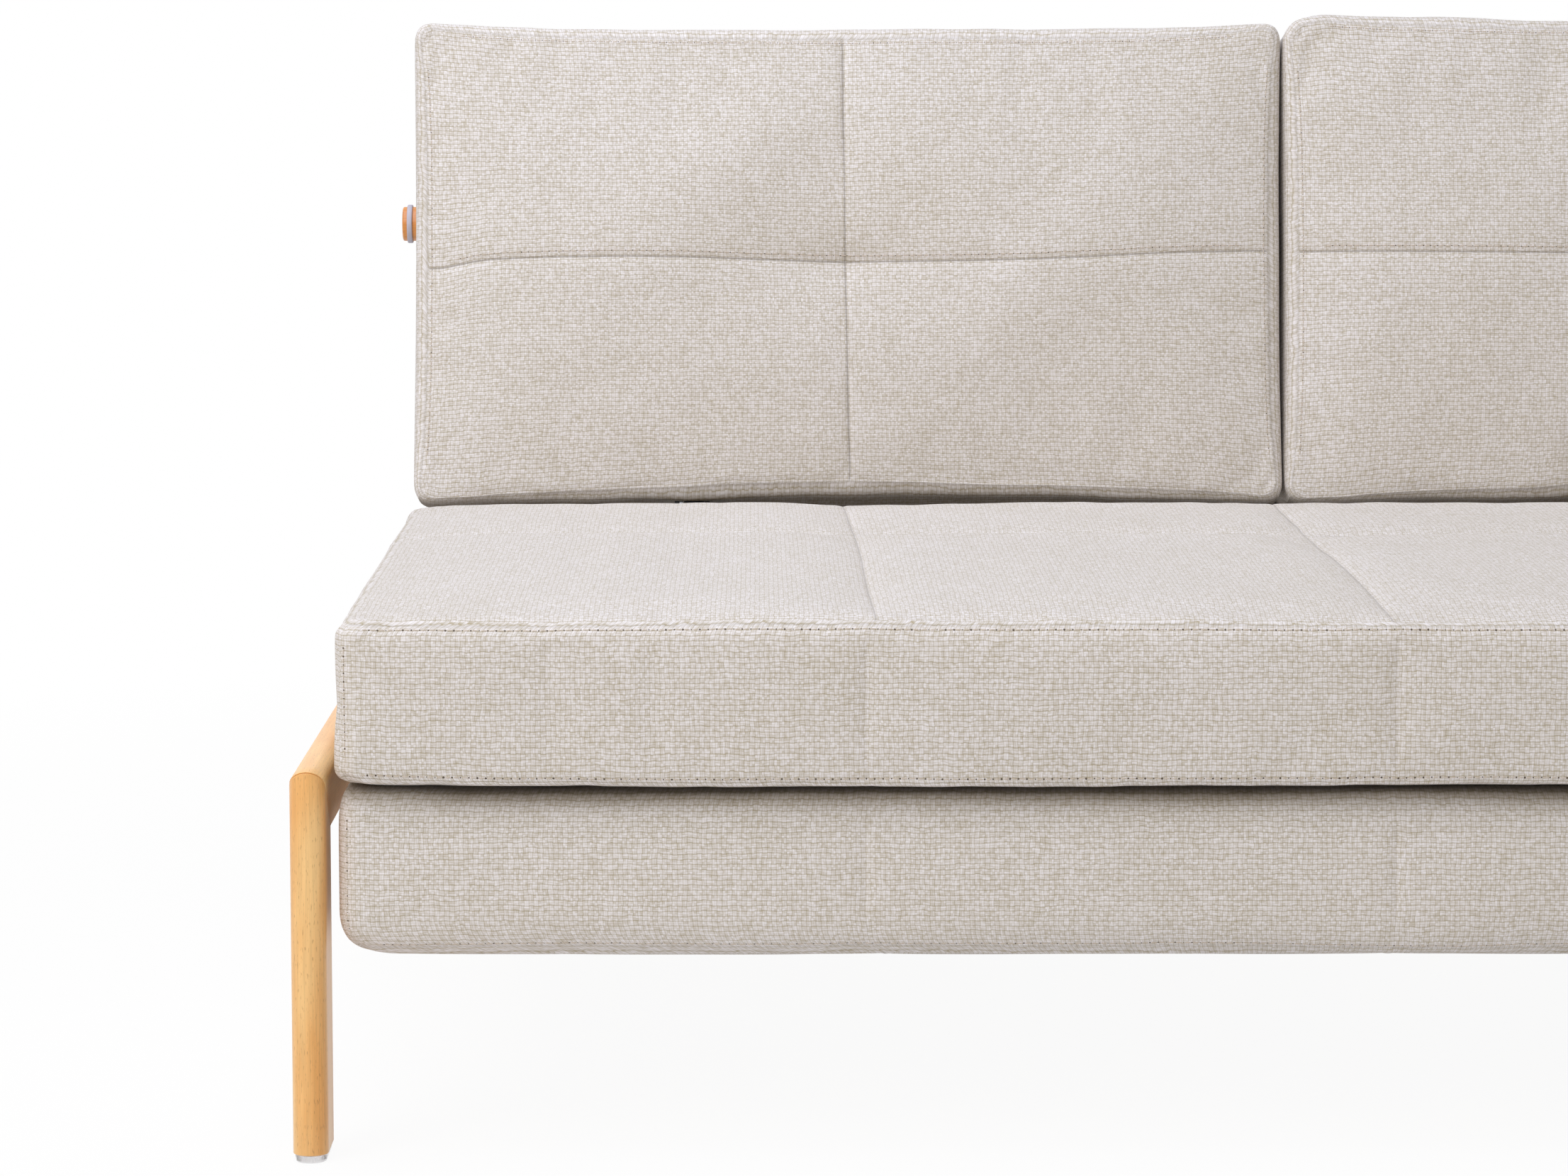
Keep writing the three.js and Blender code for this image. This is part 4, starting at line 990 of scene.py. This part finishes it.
# %% Upper layer's grid
half_x = SEAT_WIDTH / 2
cuts = [*BRACKET_SLOT, LINK_PLACE - NOTCH, LINK_PLACE + NOTCH, half_x - LIP, *LIFT_ARM_SLOT]
xs = sorted(set(stations(-half_x, half_x, PLAN_ROUND, PLAN_ROUND, QUARTERS, GRID)
                + [sign * cut for sign in (-1, 1) for cut in cuts]))
ys = sorted(set(stations(-HALF_DEPTH, HALF_DEPTH, PLAN_ROUND, PLAN_ROUND, [CROSS], GRID)
                + [FRONT_FACE + LINK_FRONT, FRONT_FACE + LIP, HALF_DEPTH - LIP]))
upper_bands = [BAND_SEAM, UPPER_HEIGHT - EDGE_SEAM]
zs = sorted(set(stations(0, UPPER_HEIGHT, UNDER_ROUND, TOP_ROUND, upper_bands, GRID, ROW)
                + list(SLOT_HEIGHTS)))
flat, faces, uv = divided_box(xs, ys, zs, upper_keep)
print(len(flat), "points in the upper cover")

# %% Upper layer's cover
REAR_RISE = 8  # the seat climbs a little towards the back
CROWN, CROWN_FRONT, CROWN_REAR = 5.5, 60, 12  # its height, and how far it takes to rise
DROOP, DROOP_REACH, DROOP_HEIGHT = 4.8, 11, 20  # the lower front edge hangs over the gap
DROOP_START, DROOP_RISE = 10, 110  # from the sides inward until it hangs in full
SIDE_SPREAD, SPREAD_HEIGHT, SPREAD_RISE = 2, 60, 250  # the sides swell low down and behind
UPPER_SWELL = (0.4, 6, 0.002)  # air pressure, limit of the swelling, share of spare cloth

shape = round_box(flat, (SEAT_WIDTH, SEAT_DEPTH, UPPER_HEIGHT), PLAN_ROUND, UNDER_ROUND,
                  TOP_ROUND, 1)
x, y, z = flat.T
crown = CROWN * fade(shape[:, 0], half_x, 10) * (z == UPPER_HEIGHT)
crown *= 1 - np.exp(-(shape[:, 1] + HALF_DEPTH) / CROWN_FRONT)
crown *= 1 - np.exp((shape[:, 1] - HALF_DEPTH) / CROWN_REAR)
shape[:, 2] += crown + (z / UPPER_HEIGHT) * REAR_RISE * (shape[:, 1] / SEAT_DEPTH + 0.5)
shade_marks = seam_shade_marks(flat, UPPER_HEIGHT, upper_bands)
held = (shade_marks > 0) | (z < SLOT_HEIGHTS[1] + 1) & (y > FRONT_FACE) | (z == 0) | (y > HALF_DEPTH - 1)
shape = swell(shape, faces, held, *UPPER_SWELL)
shift_seams(flat, shape, UPPER_HEIGHT, 0)
relief = layer_relief(flat, SEAT_WIDTH, UPPER_HEIGHT, 3.1, UPPER_HEIGHT, upper_bands)
shape += point_normals(shape, faces) * relief[:, None]
behind = shape[:, 1] - FRONT_FACE
droop = np.clip((half_x - np.abs(x) - DROOP_START) / DROOP_RISE, 0, 1) ** 0.6
shape[:, 2] -= DROOP * near(behind, DROOP_REACH) * droop * near(z, DROOP_HEIGHT)
wider = near(z, SPREAD_HEIGHT) + (z / UPPER_HEIGHT) * np.clip(behind / SPREAD_RISE, 0, 1)
shape[:, 0] += np.sign(x) * SIDE_SPREAD * wider * (np.abs(x) == half_x)
upper_shape = shape + (0, HALF_DEPTH + FRONT, UPPER_BOTTOM)
upper_cover = make_piece("upper_cover", upper_shape, faces, linen_blend_cloth, uv, shade_marks=shade_marks)
dress_cover(upper_cover, "seat", "seat_cover")
upper_rows = band_rows(flat, upper_shape, UPPER_HEIGHT, upper_bands)
lay_stitches("upper_stitches", upper_cover, upper_rows, "seat", 1.0)
print(len(upper_rows), "rows of stitches on the upper layer")

# %% Lower layer's grid
REAR_LIP = 24  # narrower than the others, so that the support leg can stand up
lower_bands = [BAND_SEAM]


def lower_keep(spot, axis, far):
    x, y, _ = spot
    inside = abs(x) < LOWER_WIDTH / 2 - LIP and LIP < y - FRONT_FACE < SEAT_DEPTH - REAR_LIP
    return not (axis == 2 and far and (inside or link_notch(x, y)))


half_x = LOWER_WIDTH / 2
cuts = [LINK_PLACE - NOTCH, LINK_PLACE + NOTCH, half_x - LIP]
xs = sorted(set(stations(-half_x, half_x, PLAN_ROUND, PLAN_ROUND, QUARTERS, GRID)
                + [sign * cut for sign in (-1, 1) for cut in cuts]))
ys = sorted(set(ys + [HALF_DEPTH - REAR_LIP]))
zs = stations(0, LOWER_HEIGHT, LOWER_ROUND, LOWER_TOP_ROUND, lower_bands, GRID, ROW)
flat, faces, uv = divided_box(xs, ys, zs, lower_keep)
print(len(flat), "points in the lower cover")

# %% Lower layer's cover
GAP_SHADE = 1.35  # the dark of the gap between the layers, drawn on the lower one's top edge
GAP_DEPTH, GAP_SIDES = 13, 80
BELLY = 5.2  # how far the cloth underneath hangs down in its middle
LOWER_SWELL = (0.3, 5, 0.001)
REAR_GAP = 2.5  # room behind the lower layer for the rails of the back when it is down

shape = round_box(flat, (LOWER_WIDTH, SEAT_DEPTH, LOWER_HEIGHT), PLAN_ROUND, LOWER_ROUND,
                  LOWER_TOP_ROUND, 1, ends=0.3)
x, y, z = flat.T
shape[:, 2] -= BELLY * fade(shape[:, 0], half_x, 6) * fade(shape[:, 1], HALF_DEPTH, 6) * (z == 0)
shade_marks = seam_shade_marks(flat, 0, lower_bands)
held = (shade_marks > 0) | (z == LOWER_HEIGHT)
shape = swell(shape, faces, held, *LOWER_SWELL)
shift_seams(flat, shape, 0, 2)
relief = layer_relief(flat, LOWER_WIDTH, LOWER_HEIGHT, 8.7, 0, lower_bands)
shape += point_normals(shape, faces) * relief[:, None]
shape[:, 1] = np.minimum(shape[:, 1], HALF_DEPTH - REAR_GAP)
inside = 0.5 + 0.5 * np.clip((half_x - np.abs(x)) / GAP_SIDES, 0, 1)
shade_marks += GAP_SHADE * near(LOWER_HEIGHT - z, GAP_DEPTH, 1.3) * inside
lower_shape = shape + (0, HALF_DEPTH + FRONT, LOWER_BOTTOM)
lower_cover = make_piece("lower_layer_cover", lower_shape, faces, linen_blend_cloth,
                         uv + (310, 90), shade_marks=shade_marks)
dress_cover(lower_cover, "lower", "lower_cover")
lower_rows = band_rows(flat, lower_shape, LOWER_HEIGHT, lower_bands)
lay_stitches("lower_stitches", lower_cover, lower_rows, "lower", 0.8)
print(len(lower_rows), "rows of stitches on the lower layer")

# %% [markdown]
# ## Foam and slats
# Behind each opening lie the slats, and behind them the foam. They show from below and when
# the bed is made. The foam is a cut slab, so its faces are flat and only its edges give. The
# slats are thin glued birch with rounded long edges, held by two woven tapes.

# %% Foam cores
FOAM_ROUND, FOAM_EDGE = 6, 5


def foam_slab(name, node, body):
    low, high = (np.array(v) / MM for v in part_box(node))
    middle, size = (low + high) / 2, high - low
    xs = stations(-size[0] / 2, size[0] / 2, FOAM_ROUND, FOAM_ROUND, [], 40)
    ys = stations(-size[1] / 2, size[1] / 2, FOAM_ROUND, FOAM_ROUND, [], 40)
    zs = stations(0, size[2], FOAM_EDGE, FOAM_EDGE, [], 20)
    flat, faces, uv = divided_box(xs, ys, zs)
    shape = round_box(flat, size, FOAM_ROUND, FOAM_EDGE, FOAM_EDGE, 0)
    placed = shape + (middle[0], middle[1], low[2])
    piece = make_piece(name, placed, faces, upholstery_foam, uv)
    attach(piece, body, "foam", node)


foam_slab("upper_foam_slab", "seat_foam", "seat")
foam_slab("lower_foam_slab", "lower_foam", "lower")
print("two foam slabs")

# %% Slats and tapes
SLAT_COUNT, SLAT_WIDTH, SLAT_ROUND = 10, 46, 2.4
SLAT_STEPS = 9
TAPE_WIDTH, TAPE_THICK, TAPE_STEPS = 30, 2, 4
TAPE_TUCK = 3  # how far a tape goes into its slot in a slat
TAPE_OUTLINE = ((-1, -0.7), (-0.96, -1), (0.96, -1), (1, -0.7), (1, 0.7), (0.96, 1), (-0.96, 1),
                (-1, 0.7))


def slat_outline(thick):
    outline = []
    for quarter, (y, z) in enumerate(((SLAT_WIDTH - SLAT_ROUND, thick - SLAT_ROUND),
                                      (SLAT_ROUND, thick - SLAT_ROUND), (SLAT_ROUND, SLAT_ROUND),
                                      (SLAT_WIDTH - SLAT_ROUND, SLAT_ROUND))):
        for t in np.linspace(quarter, quarter + 1, 4) * math.pi / 2:
            outline.append((y + SLAT_ROUND * math.cos(t), z + SLAT_ROUND * math.sin(t)))
    return outline


def slat_mat(name, node, body):
    low, high = (np.array(v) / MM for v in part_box(node))
    step = (high[1] - low[1] - SLAT_WIDTH) / (SLAT_COUNT - 1)
    outline = slat_outline(high[2] - low[2])
    n = len(outline)
    points, faces, uv, kinds = [], [], [], []
    for number in range(SLAT_COUNT):
        base, start = len(points), low[1] + number * step
        points += [(x, start + y, low[2] + z) for x in np.linspace(low[0], high[0], SLAT_STEPS)
                   for y, z in outline]
        made = skin(SLAT_STEPS, n, base, against=True)
        across = [outline[(c - base) % n][0] + 70 * number for quad in made[:-2] for c in quad]
        uv += zip(across, [points[c][0] for quad in made[:-2] for c in quad])
        uv += [(points[c][1] * 2, points[c][2] * 9) for cap in made[-2:] for c in cap]
        faces += made
        kinds += [0] * len(made)
    middle = (low[2] + high[2]) / 2
    for x in ((low[0] - high[0]) / 4, (high[0] - low[0]) / 4):
        for number in range(SLAT_COUNT - 1):
            base, start = len(points), low[1] + number * step
            slots = (start + SLAT_WIDTH - TAPE_TUCK, start + step + TAPE_TUCK)
            points += [(x + p * TAPE_WIDTH / 2, y, middle + q * TAPE_THICK / 2)
                       for y in np.linspace(*slots, TAPE_STEPS) for p, q in TAPE_OUTLINE]
            made = skin(TAPE_STEPS, len(TAPE_OUTLINE), base, against=True)
            uv += [(points[c][0], points[c][1]) for quad in made[:-2] for c in quad]
            uv += [(points[c][0], points[c][2]) for cap in made[-2:] for c in cap]
            faces += made
            kinds += [1] * len(made)
    piece = make_piece(name, points, faces, birch_ply, uv, "grain", smooth=False)
    second_material(piece, nylon_webbing, kinds)
    attach(piece, body, "birch", node)


slat_mat("upper_slat_mat", "seat_slats", "seat")
slat_mat("lower_slat_mat", "lower_slats", "lower")
print(2 * SLAT_COUNT, "slats")

# %% [markdown]
# ## Back cushions
# A back cushion is a sewn box that leans on its frame, with a seam down its middle, one
# across it, and a tuft where they cross. It is laid out upright about the hinge and leaned
# afterwards. Its cloth is looser than the seat's: the lower seam arches up, the corners are
# pinched, the sides pucker. Cloth simulation swells it: the seams round the rim and the tuft
# are pinned, and air pressure swells the cloth between them.

# %% Cushion sizes
HINGE_BACK, HINGE_HEIGHT = 771, 383
LEAN = math.radians(8.8)
BACK_WIDTH, BACK_HEIGHT, BACK_THICK = 737, 404, 150
HALF_W, HALF_H = BACK_WIDTH / 2, BACK_HEIGHT / 2
CORNER_ROUND, RIM_ROUND = 14, 10
BACK_SEAM = 6  # how far the cross seam lies above the middle
CUSHION_BACK, CUSHION_LOW = 144, 8.9
CUSHION_MIDDLE = 369.5


def leaned(across, behind, up):
    return np.column_stack([
        across,
        HINGE_BACK + behind * math.cos(LEAN) + up * math.sin(LEAN) + FRONT,
        HINGE_HEIGHT - behind * math.sin(LEAN) + up * math.cos(LEAN),
    ])


print("the back leans by", round(math.degrees(LEAN), 1), "degrees")

# %% Cushion padding
PINCH = 0.65
PADDING = 13  # how far the face stands out in its middle before it swells
TUFT_DEPTH = 13
TUFT = ((0.65, 62), (0.35, 16))  # a wide and a narrow hollow: share of the depth, and reach
TUFT_HELD = 3  # the cloth is pinned this far round the tuft
CUSHION_SWELL = (1.5, 12, 0.004)
SIDE_SWELL = 0.3  # the share of the swelling that the narrow side panels take


def padded_cushion(flat, faces, on_rim):
    x, y, z = flat.T
    face = z == BACK_THICK
    shape = round_box(flat, (BACK_WIDTH, BACK_HEIGHT, BACK_THICK), CORNER_ROUND, RIM_ROUND,
                      RIM_ROUND, 2, PINCH)
    padding = PADDING * fade(shape[:, 0], HALF_W, 2.4) * fade(shape[:, 1], HALF_H, 2.4)
    from_tuft = np.hypot(x, (y - BACK_SEAM) * 1.2)
    tuft = sum(share * near(from_tuft, reach) for share, reach in TUFT)
    shape[:, 2] += face * padding
    shape[:, 2] -= face * TUFT_DEPTH * tuft
    held = on_rim | (z == 0) | (face & (from_tuft < TUFT_HELD))
    swollen = swell(shape, faces, held, *CUSHION_SWELL)
    return shape + (swollen - shape) * np.where(face, 1, SIDE_SWELL)[:, None]


print("tuft", TUFT_DEPTH, "mm deep")

# %% [markdown]
# ## Lines of a used cushion
# The photograph shows how a used cushion has settled: the cross seam sags to the tuft and
# climbs again, the lower seam is lifted by the padding behind it, and the upright seam
# wanders. These lines were read from it as places along the cushion, and are laid over the
# swollen shape. The right cushion is seen in part, so its cross seam is nearly straight.

# %% Seam lines
# Places along the cushion, and how far the cross seam of the left one lies above its straight
# place there, and how far the lower seam of both is lifted.
CROSS_LINE = ((-355, -11), (-343, -8.6), (-317, -4.2), (-261, -2.6), (-193, -2.2), (-143, -2.5),
              (-93, -3.6), (-33, -4.8), (0, -5.2), (47, -5.4), (106, -5.4), (167, -4.6),
              (206, -2.9), (247, -0.6), (287, 1.6), (352, 3.6))
BOTTOM_LINE = ((-365, 1), (-328, 1), (-291, 4.2), (-229, 7), (-163, 8.7), (-109, 13), (3, 14),
               (71, 12), (124, 10), (180, 10), (269, 8), (312, 7), (356, 3.4))
UPRIGHT_LINE = ((-HALF_H, -1), (0, 2.5), (60, 3), (HALF_H, 5))  # how far it strays to the left
CROSS_LINE_REACH, UPRIGHT_LINE_REACH, BOTTOM_LINE_REACH = 60, 50, 35
TOP_LIFT, TOP_DIP = 3.5, 2.6
CORNER_REACH = 30  # the taller cushion is as low as the other one at its inner corner
LIP_REACH = 24  # from the lower seam inward until the bottom panel is down on the frame


def settle(shape, flat, taller):
    x, y, z = flat.T
    face, under, beyond = z == BACK_THICK, y == -HALF_H, BACK_THICK - z
    rise = 2 + np.sin(x / 80) if taller else np.interp(x, *zip(*CROSS_LINE))
    shape[:, 1] += face * rise * near(y - BACK_SEAM, CROSS_LINE_REACH)
    shape[:, 0] -= face * np.interp(y, *zip(*UPRIGHT_LINE)) * near(x, UPRIGHT_LINE_REACH)
    corner = 1 - 1.1 * fade(x + HALF_W, CORNER_REACH, 1)
    top = np.maximum(y / HALF_H, 0) ** 3
    shape[:, 1] += top * (TOP_LIFT - TOP_DIP * fade(x, HALF_W, 3) + taller * corner)
    lift = np.interp(x, *zip(*BOTTOM_LINE)) * np.clip(1 - beyond / LIP_REACH, 0, 1)
    lift -= bow(RIM_ROUND, RIM_ROUND - beyond) * (0.35 + 0.65 * fade(x, HALF_W, 9))
    shape[:, 1] += np.where(face, near(y + HALF_H, BOTTOM_LINE_REACH), under) * lift


print("the lower seam is lifted by up to", max(lift for _, lift in BOTTOM_LINE), "mm")

# %% Cushion relief
BACK_BILLOWS = ((130, 3.4), (46, 1.3))  # length and height of the slow and the quick waves
PUCKER_LENGTH, PUCKER_HEIGHT, PUCKER_REACH = 15, 1.2, 24
SEAM_SINK, RIM_SINK = 2.0, 1.0


def back_relief(flat, seed):
    x, y, z = flat.T
    face = z == BACK_THICK
    rim = np.minimum(HALF_W - np.abs(x), HALF_H - np.abs(y))
    (slow, high), (quick, low) = BACK_BILLOWS
    soft = ripple(flat, slow, seed) * high + ripple(flat, quick, seed + 5) * low
    seams = np.minimum(crease(x, SEAM_SINK, 1.3, 12), crease(y - BACK_SEAM, SEAM_SINK, 1.3, 9))
    pucker = ripple(flat, PUCKER_LENGTH, seed + 9, (0.5, 1, 1)) * PUCKER_HEIGHT
    bumps = np.where(face, seams + pucker * near(rim, PUCKER_REACH), 0)
    bumps += crease(np.where(face, rim, BACK_THICK - z), RIM_SINK, 1.3, 4)
    bumps += np.where(z > 0, crease(z, RIM_SINK, 1.3, 4), 0)
    return bumps + soft * fade(x, HALF_W, 6)


print("inner seams", SEAM_SINK, "mm deep, the seams round the rim", RIM_SINK)

# %% [markdown]
# ## Room for the hinges
# The bottom panel sags a little behind the lower seam and hides the hinge brackets. It must
# still turn about them when the back clicks down, so over each bracket and lift arm it is
# held up, and elsewhere it comes down on the frame.

# %% Bottom panel
HINGE_PLACE, HINGE_REACH, HINGE_ROOM = 502, 24, 0.8
LIFT_ARM_PLACE, LIFT_ARM_REACH, LIFT_ARM_ROOM = 718, 18, 2.2
HELD_REAR, HELD_AT_HINGE = 85, 139  # from the back of the cushion, where the panel is held up
PANEL_ROOM = 0.4
PANEL_DROP, PANEL_DROP_REACH = 5.5, 12  # the panel comes down, and the sides just above it
DROP_END, DROP_FADE = 70, 40  # how far behind the face it ends, after fading out over so much
SAG, SAG_FORWARD, SAG_PLACE, SAG_REACH = 7.5, 4.5, 6, 4.5
SAG_LIFT = 11  # where the lower seam is lifted by this much, the panel sags in full
HINGE_SAG, HINGE_SAG_REACH = 0.6, 45


def clear_hinges(shape, flat, middle):
    x, y, z = flat.T
    face, under, beyond = z == BACK_THICK, y == -HALF_H, BACK_THICK - z
    place = np.abs(x + middle)
    at_hinge = near(place - HINGE_PLACE, HINGE_REACH, 4)
    at_lift_arm = near(place - LIFT_ARM_PLACE, LIFT_ARM_REACH, 4)
    drop = PANEL_DROP * (1 - at_hinge) * near(y + HALF_H, PANEL_DROP_REACH) * ~face
    drop *= np.clip((DROP_END - beyond) / DROP_FADE, 0, 1) * np.clip(beyond / LIP_REACH, 0, 1)
    shape[:, 1] -= drop
    clear = PANEL_ROOM - HALF_H + HINGE_ROOM * at_hinge + LIFT_ARM_ROOM * at_lift_arm
    kept = under & ((z < HELD_REAR) | (at_hinge > 0.05) & (z < HELD_AT_HINGE))
    shape[:, 1] = np.maximum(shape[:, 1], np.where(kept, clear, -np.inf))
    sag = under * near(beyond - SAG_PLACE, SAG_REACH)
    sag *= np.clip(np.interp(x, *zip(*BOTTOM_LINE)) / SAG_LIFT, 0, 1)
    sag *= 1 + HINGE_SAG * near(place - HINGE_PLACE, HINGE_SAG_REACH)
    shape += sag[:, None] * (0, -SAG, SAG_FORWARD)
    return sag


print("hinges at", HINGE_PLACE, "and lift arms at", LIFT_ARM_PLACE, "mm from the middle")

# %% Back cushions
# Painted shade: the cushion's seams are drawn darker, as shade in their creases, and the bottom
# panel behind the lower seam darker still, as the shadow between cushion and seat, most where it
# sags.
RIM_SHADE_MARK, INNER_SHADE_MARK, PANEL_SHADE_MARK, SAG_SHADE_MARK = 0.3, 0.9, 1.2, 0.7
PANEL_SHADE = ((1, 0), (15, 1), (40, 1), (100, 0))  # behind the lower seam, share of the dark
ROW_ABOVE, CROSS_ROW_END, RIM_ROW_END = 5, 14, 22


def cushion_shade_marks(flat, on_rim, sag):
    x, y, z = flat.T
    beyond = BACK_THICK - z
    inner_seam = (z == BACK_THICK) & ~on_rim & ((x == 0) | (np.abs(y - BACK_SEAM) < 0.01))
    shade = np.interp(beyond, *zip(*PANEL_SHADE))
    shade_marks = np.where(on_rim, RIM_SHADE_MARK, 0) + np.where(inner_seam, INNER_SHADE_MARK, 0)
    return shade_marks + (y == -HALF_H) * (PANEL_SHADE_MARK * shade + SAG_SHADE_MARK * sag)


def cushion_rows(flat, placed):
    inner = EDGE_SHARES[2] * CORNER_ROUND
    rows = [mesh_line(flat, placed, "x", CROSS_ROW_END, z=BACK_THICK, y=BACK_SEAM + ROW_ABOVE),
            mesh_line(flat, placed, "x", RIM_ROW_END, z=BACK_THICK, y=HALF_H - inner)]
    return rows + [mesh_line(flat, placed, "y", RIM_ROW_END, z=BACK_THICK, x=x)
                   for x in (inner - HALF_W, HALF_W - inner)]


def back_cushion(word, sign, taller, seed):
    xs = stations(-HALF_W, HALF_W, CORNER_ROUND, CORNER_ROUND, [0], GRID)
    ys = stations(-HALF_H, HALF_H, CORNER_ROUND, CORNER_ROUND, [BACK_SEAM], GRID)
    zs = stations(0, BACK_THICK, RIM_ROUND, RIM_ROUND, [], GRID)
    flat, faces, uv = divided_box(xs, ys, zs)
    x, y, z = flat.T
    on_rim = ((z == BACK_THICK) | (z == 0)) & ((np.abs(x) == HALF_W) | (np.abs(y) == HALF_H))
    shape = padded_cushion(flat, faces, on_rim)
    settle(shape, flat, taller)
    shape += point_normals(shape, faces) * back_relief(flat, seed)[:, None]
    sag = clear_hinges(shape, flat, sign * CUSHION_MIDDLE)
    placed = leaned(shape[:, 0] + sign * CUSHION_MIDDLE, CUSHION_BACK - shape[:, 2],
                    shape[:, 1] + CUSHION_LOW + HALF_H)
    piece = make_piece(f"back_cushion_{word}", placed, faces, linen_blend_cloth,
                       uv + (40 + 500 * sign, 17), shade_marks=cushion_shade_marks(flat, on_rim, sag))
    fine = piece.modifiers.new("smooth", "SUBSURF")
    fine.levels = fine.render_levels = 1
    attach(piece, "back", "cloth", f"back_cover_{word}", f"back_foam_{word}")
    lay_stitches(f"back_stitches_{word}", piece, cushion_rows(flat, placed), "back", 0.65)


back_cushion("left", -1, 0, 2.2)
back_cushion("right", 1, 9, 6.4)
print("two back cushions")

# %% [markdown]
# ## Dowel and rings
# Behind the cushions a round stained dowel runs across, with a pale rubber ring near each
# end. Both are turned shapes, so each is a profile spun round the dowel's axis.

# %% Turning
DOWEL_RADIUS, DOWEL_HALF, DOWEL_EDGE = 15, 759, 1.6
DOWEL_AT = (162.8, 263)  # behind the hinge and above it, on the upright back
TURNS = 48
TIP = 0.05  # radius of the last ring at each end of the dowel


def spin(profile, capped):
    turns = [2 * math.pi * k / TURNS for k in range(TURNS)]
    points = [(along, radius * math.cos(t), radius * math.sin(t))
              for along, radius in profile for t in turns]
    run = np.concatenate([[0], np.cumsum(np.linalg.norm(np.diff(profile, axis=0), axis=1))])
    around = 2 * math.pi * DOWEL_RADIUS / TURNS
    uv = []
    for start, end in zip(run, run[1:]):
        for k in range(TURNS):
            left, right = k * around, (k + 1) * around
            uv += [(left, end), (right, end), (right, start), (left, start)]
    uv += [(0, 0)] * (2 * TURNS * capped)
    placed = leaned(*(np.array(points).T + [[0], [DOWEL_AT[0]], [DOWEL_AT[1]]]))
    return placed, skin(len(profile), TURNS, against=True, capped=capped), uv


print("dowel", 2 * DOWEL_RADIUS, "mm thick")

# %% Dowel and rings
RING_AT, RING_WIDTH = 752.6, 4.6
RING_INNER, RING_OUTER = 15.4, 16.9

turn = np.linspace(0, math.pi / 2, 5)
nose = [(-DOWEL_HALF + DOWEL_EDGE * (1 - math.sin(t)),
         DOWEL_RADIUS - DOWEL_EDGE * (1 - math.cos(t))) for t in turn[::-1]]
profile = [(-DOWEL_HALF, TIP), *nose] + [(x, DOWEL_RADIUS) for x in np.linspace(-700, 700, 29)]
profile += [(-along, radius) for along, radius in nose[::-1]] + [(DOWEL_HALF, TIP)]
placed, faces, uv = spin(profile, True)
dowel = make_piece("turned_dowel", placed, faces, stained_beech, uv, "grain")
attach(dowel, "back", "beech", "back_dowel")

half = RING_WIDTH / 2
edge = [(half - 0.9, RING_OUTER), (half - 0.3, RING_OUTER - 0.2), (half, RING_OUTER - 0.7),
        (half, RING_INNER)]
loop = [(-along, radius) for along, radius in edge[::-1]] + edge
loop.append(loop[0])
for word, sign in (("left", -1), ("right", 1)):
    placed, faces, _ = spin([(sign * RING_AT + along, radius) for along, radius in loop], False)
    ring = make_piece(f"rubber_ring_{word}", placed, faces, pale_rubber)
    attach(ring, "back", "pale_rubber", f"dowel_ring_{word}")
print("dowel of", 2 * DOWEL_HALF, "mm")
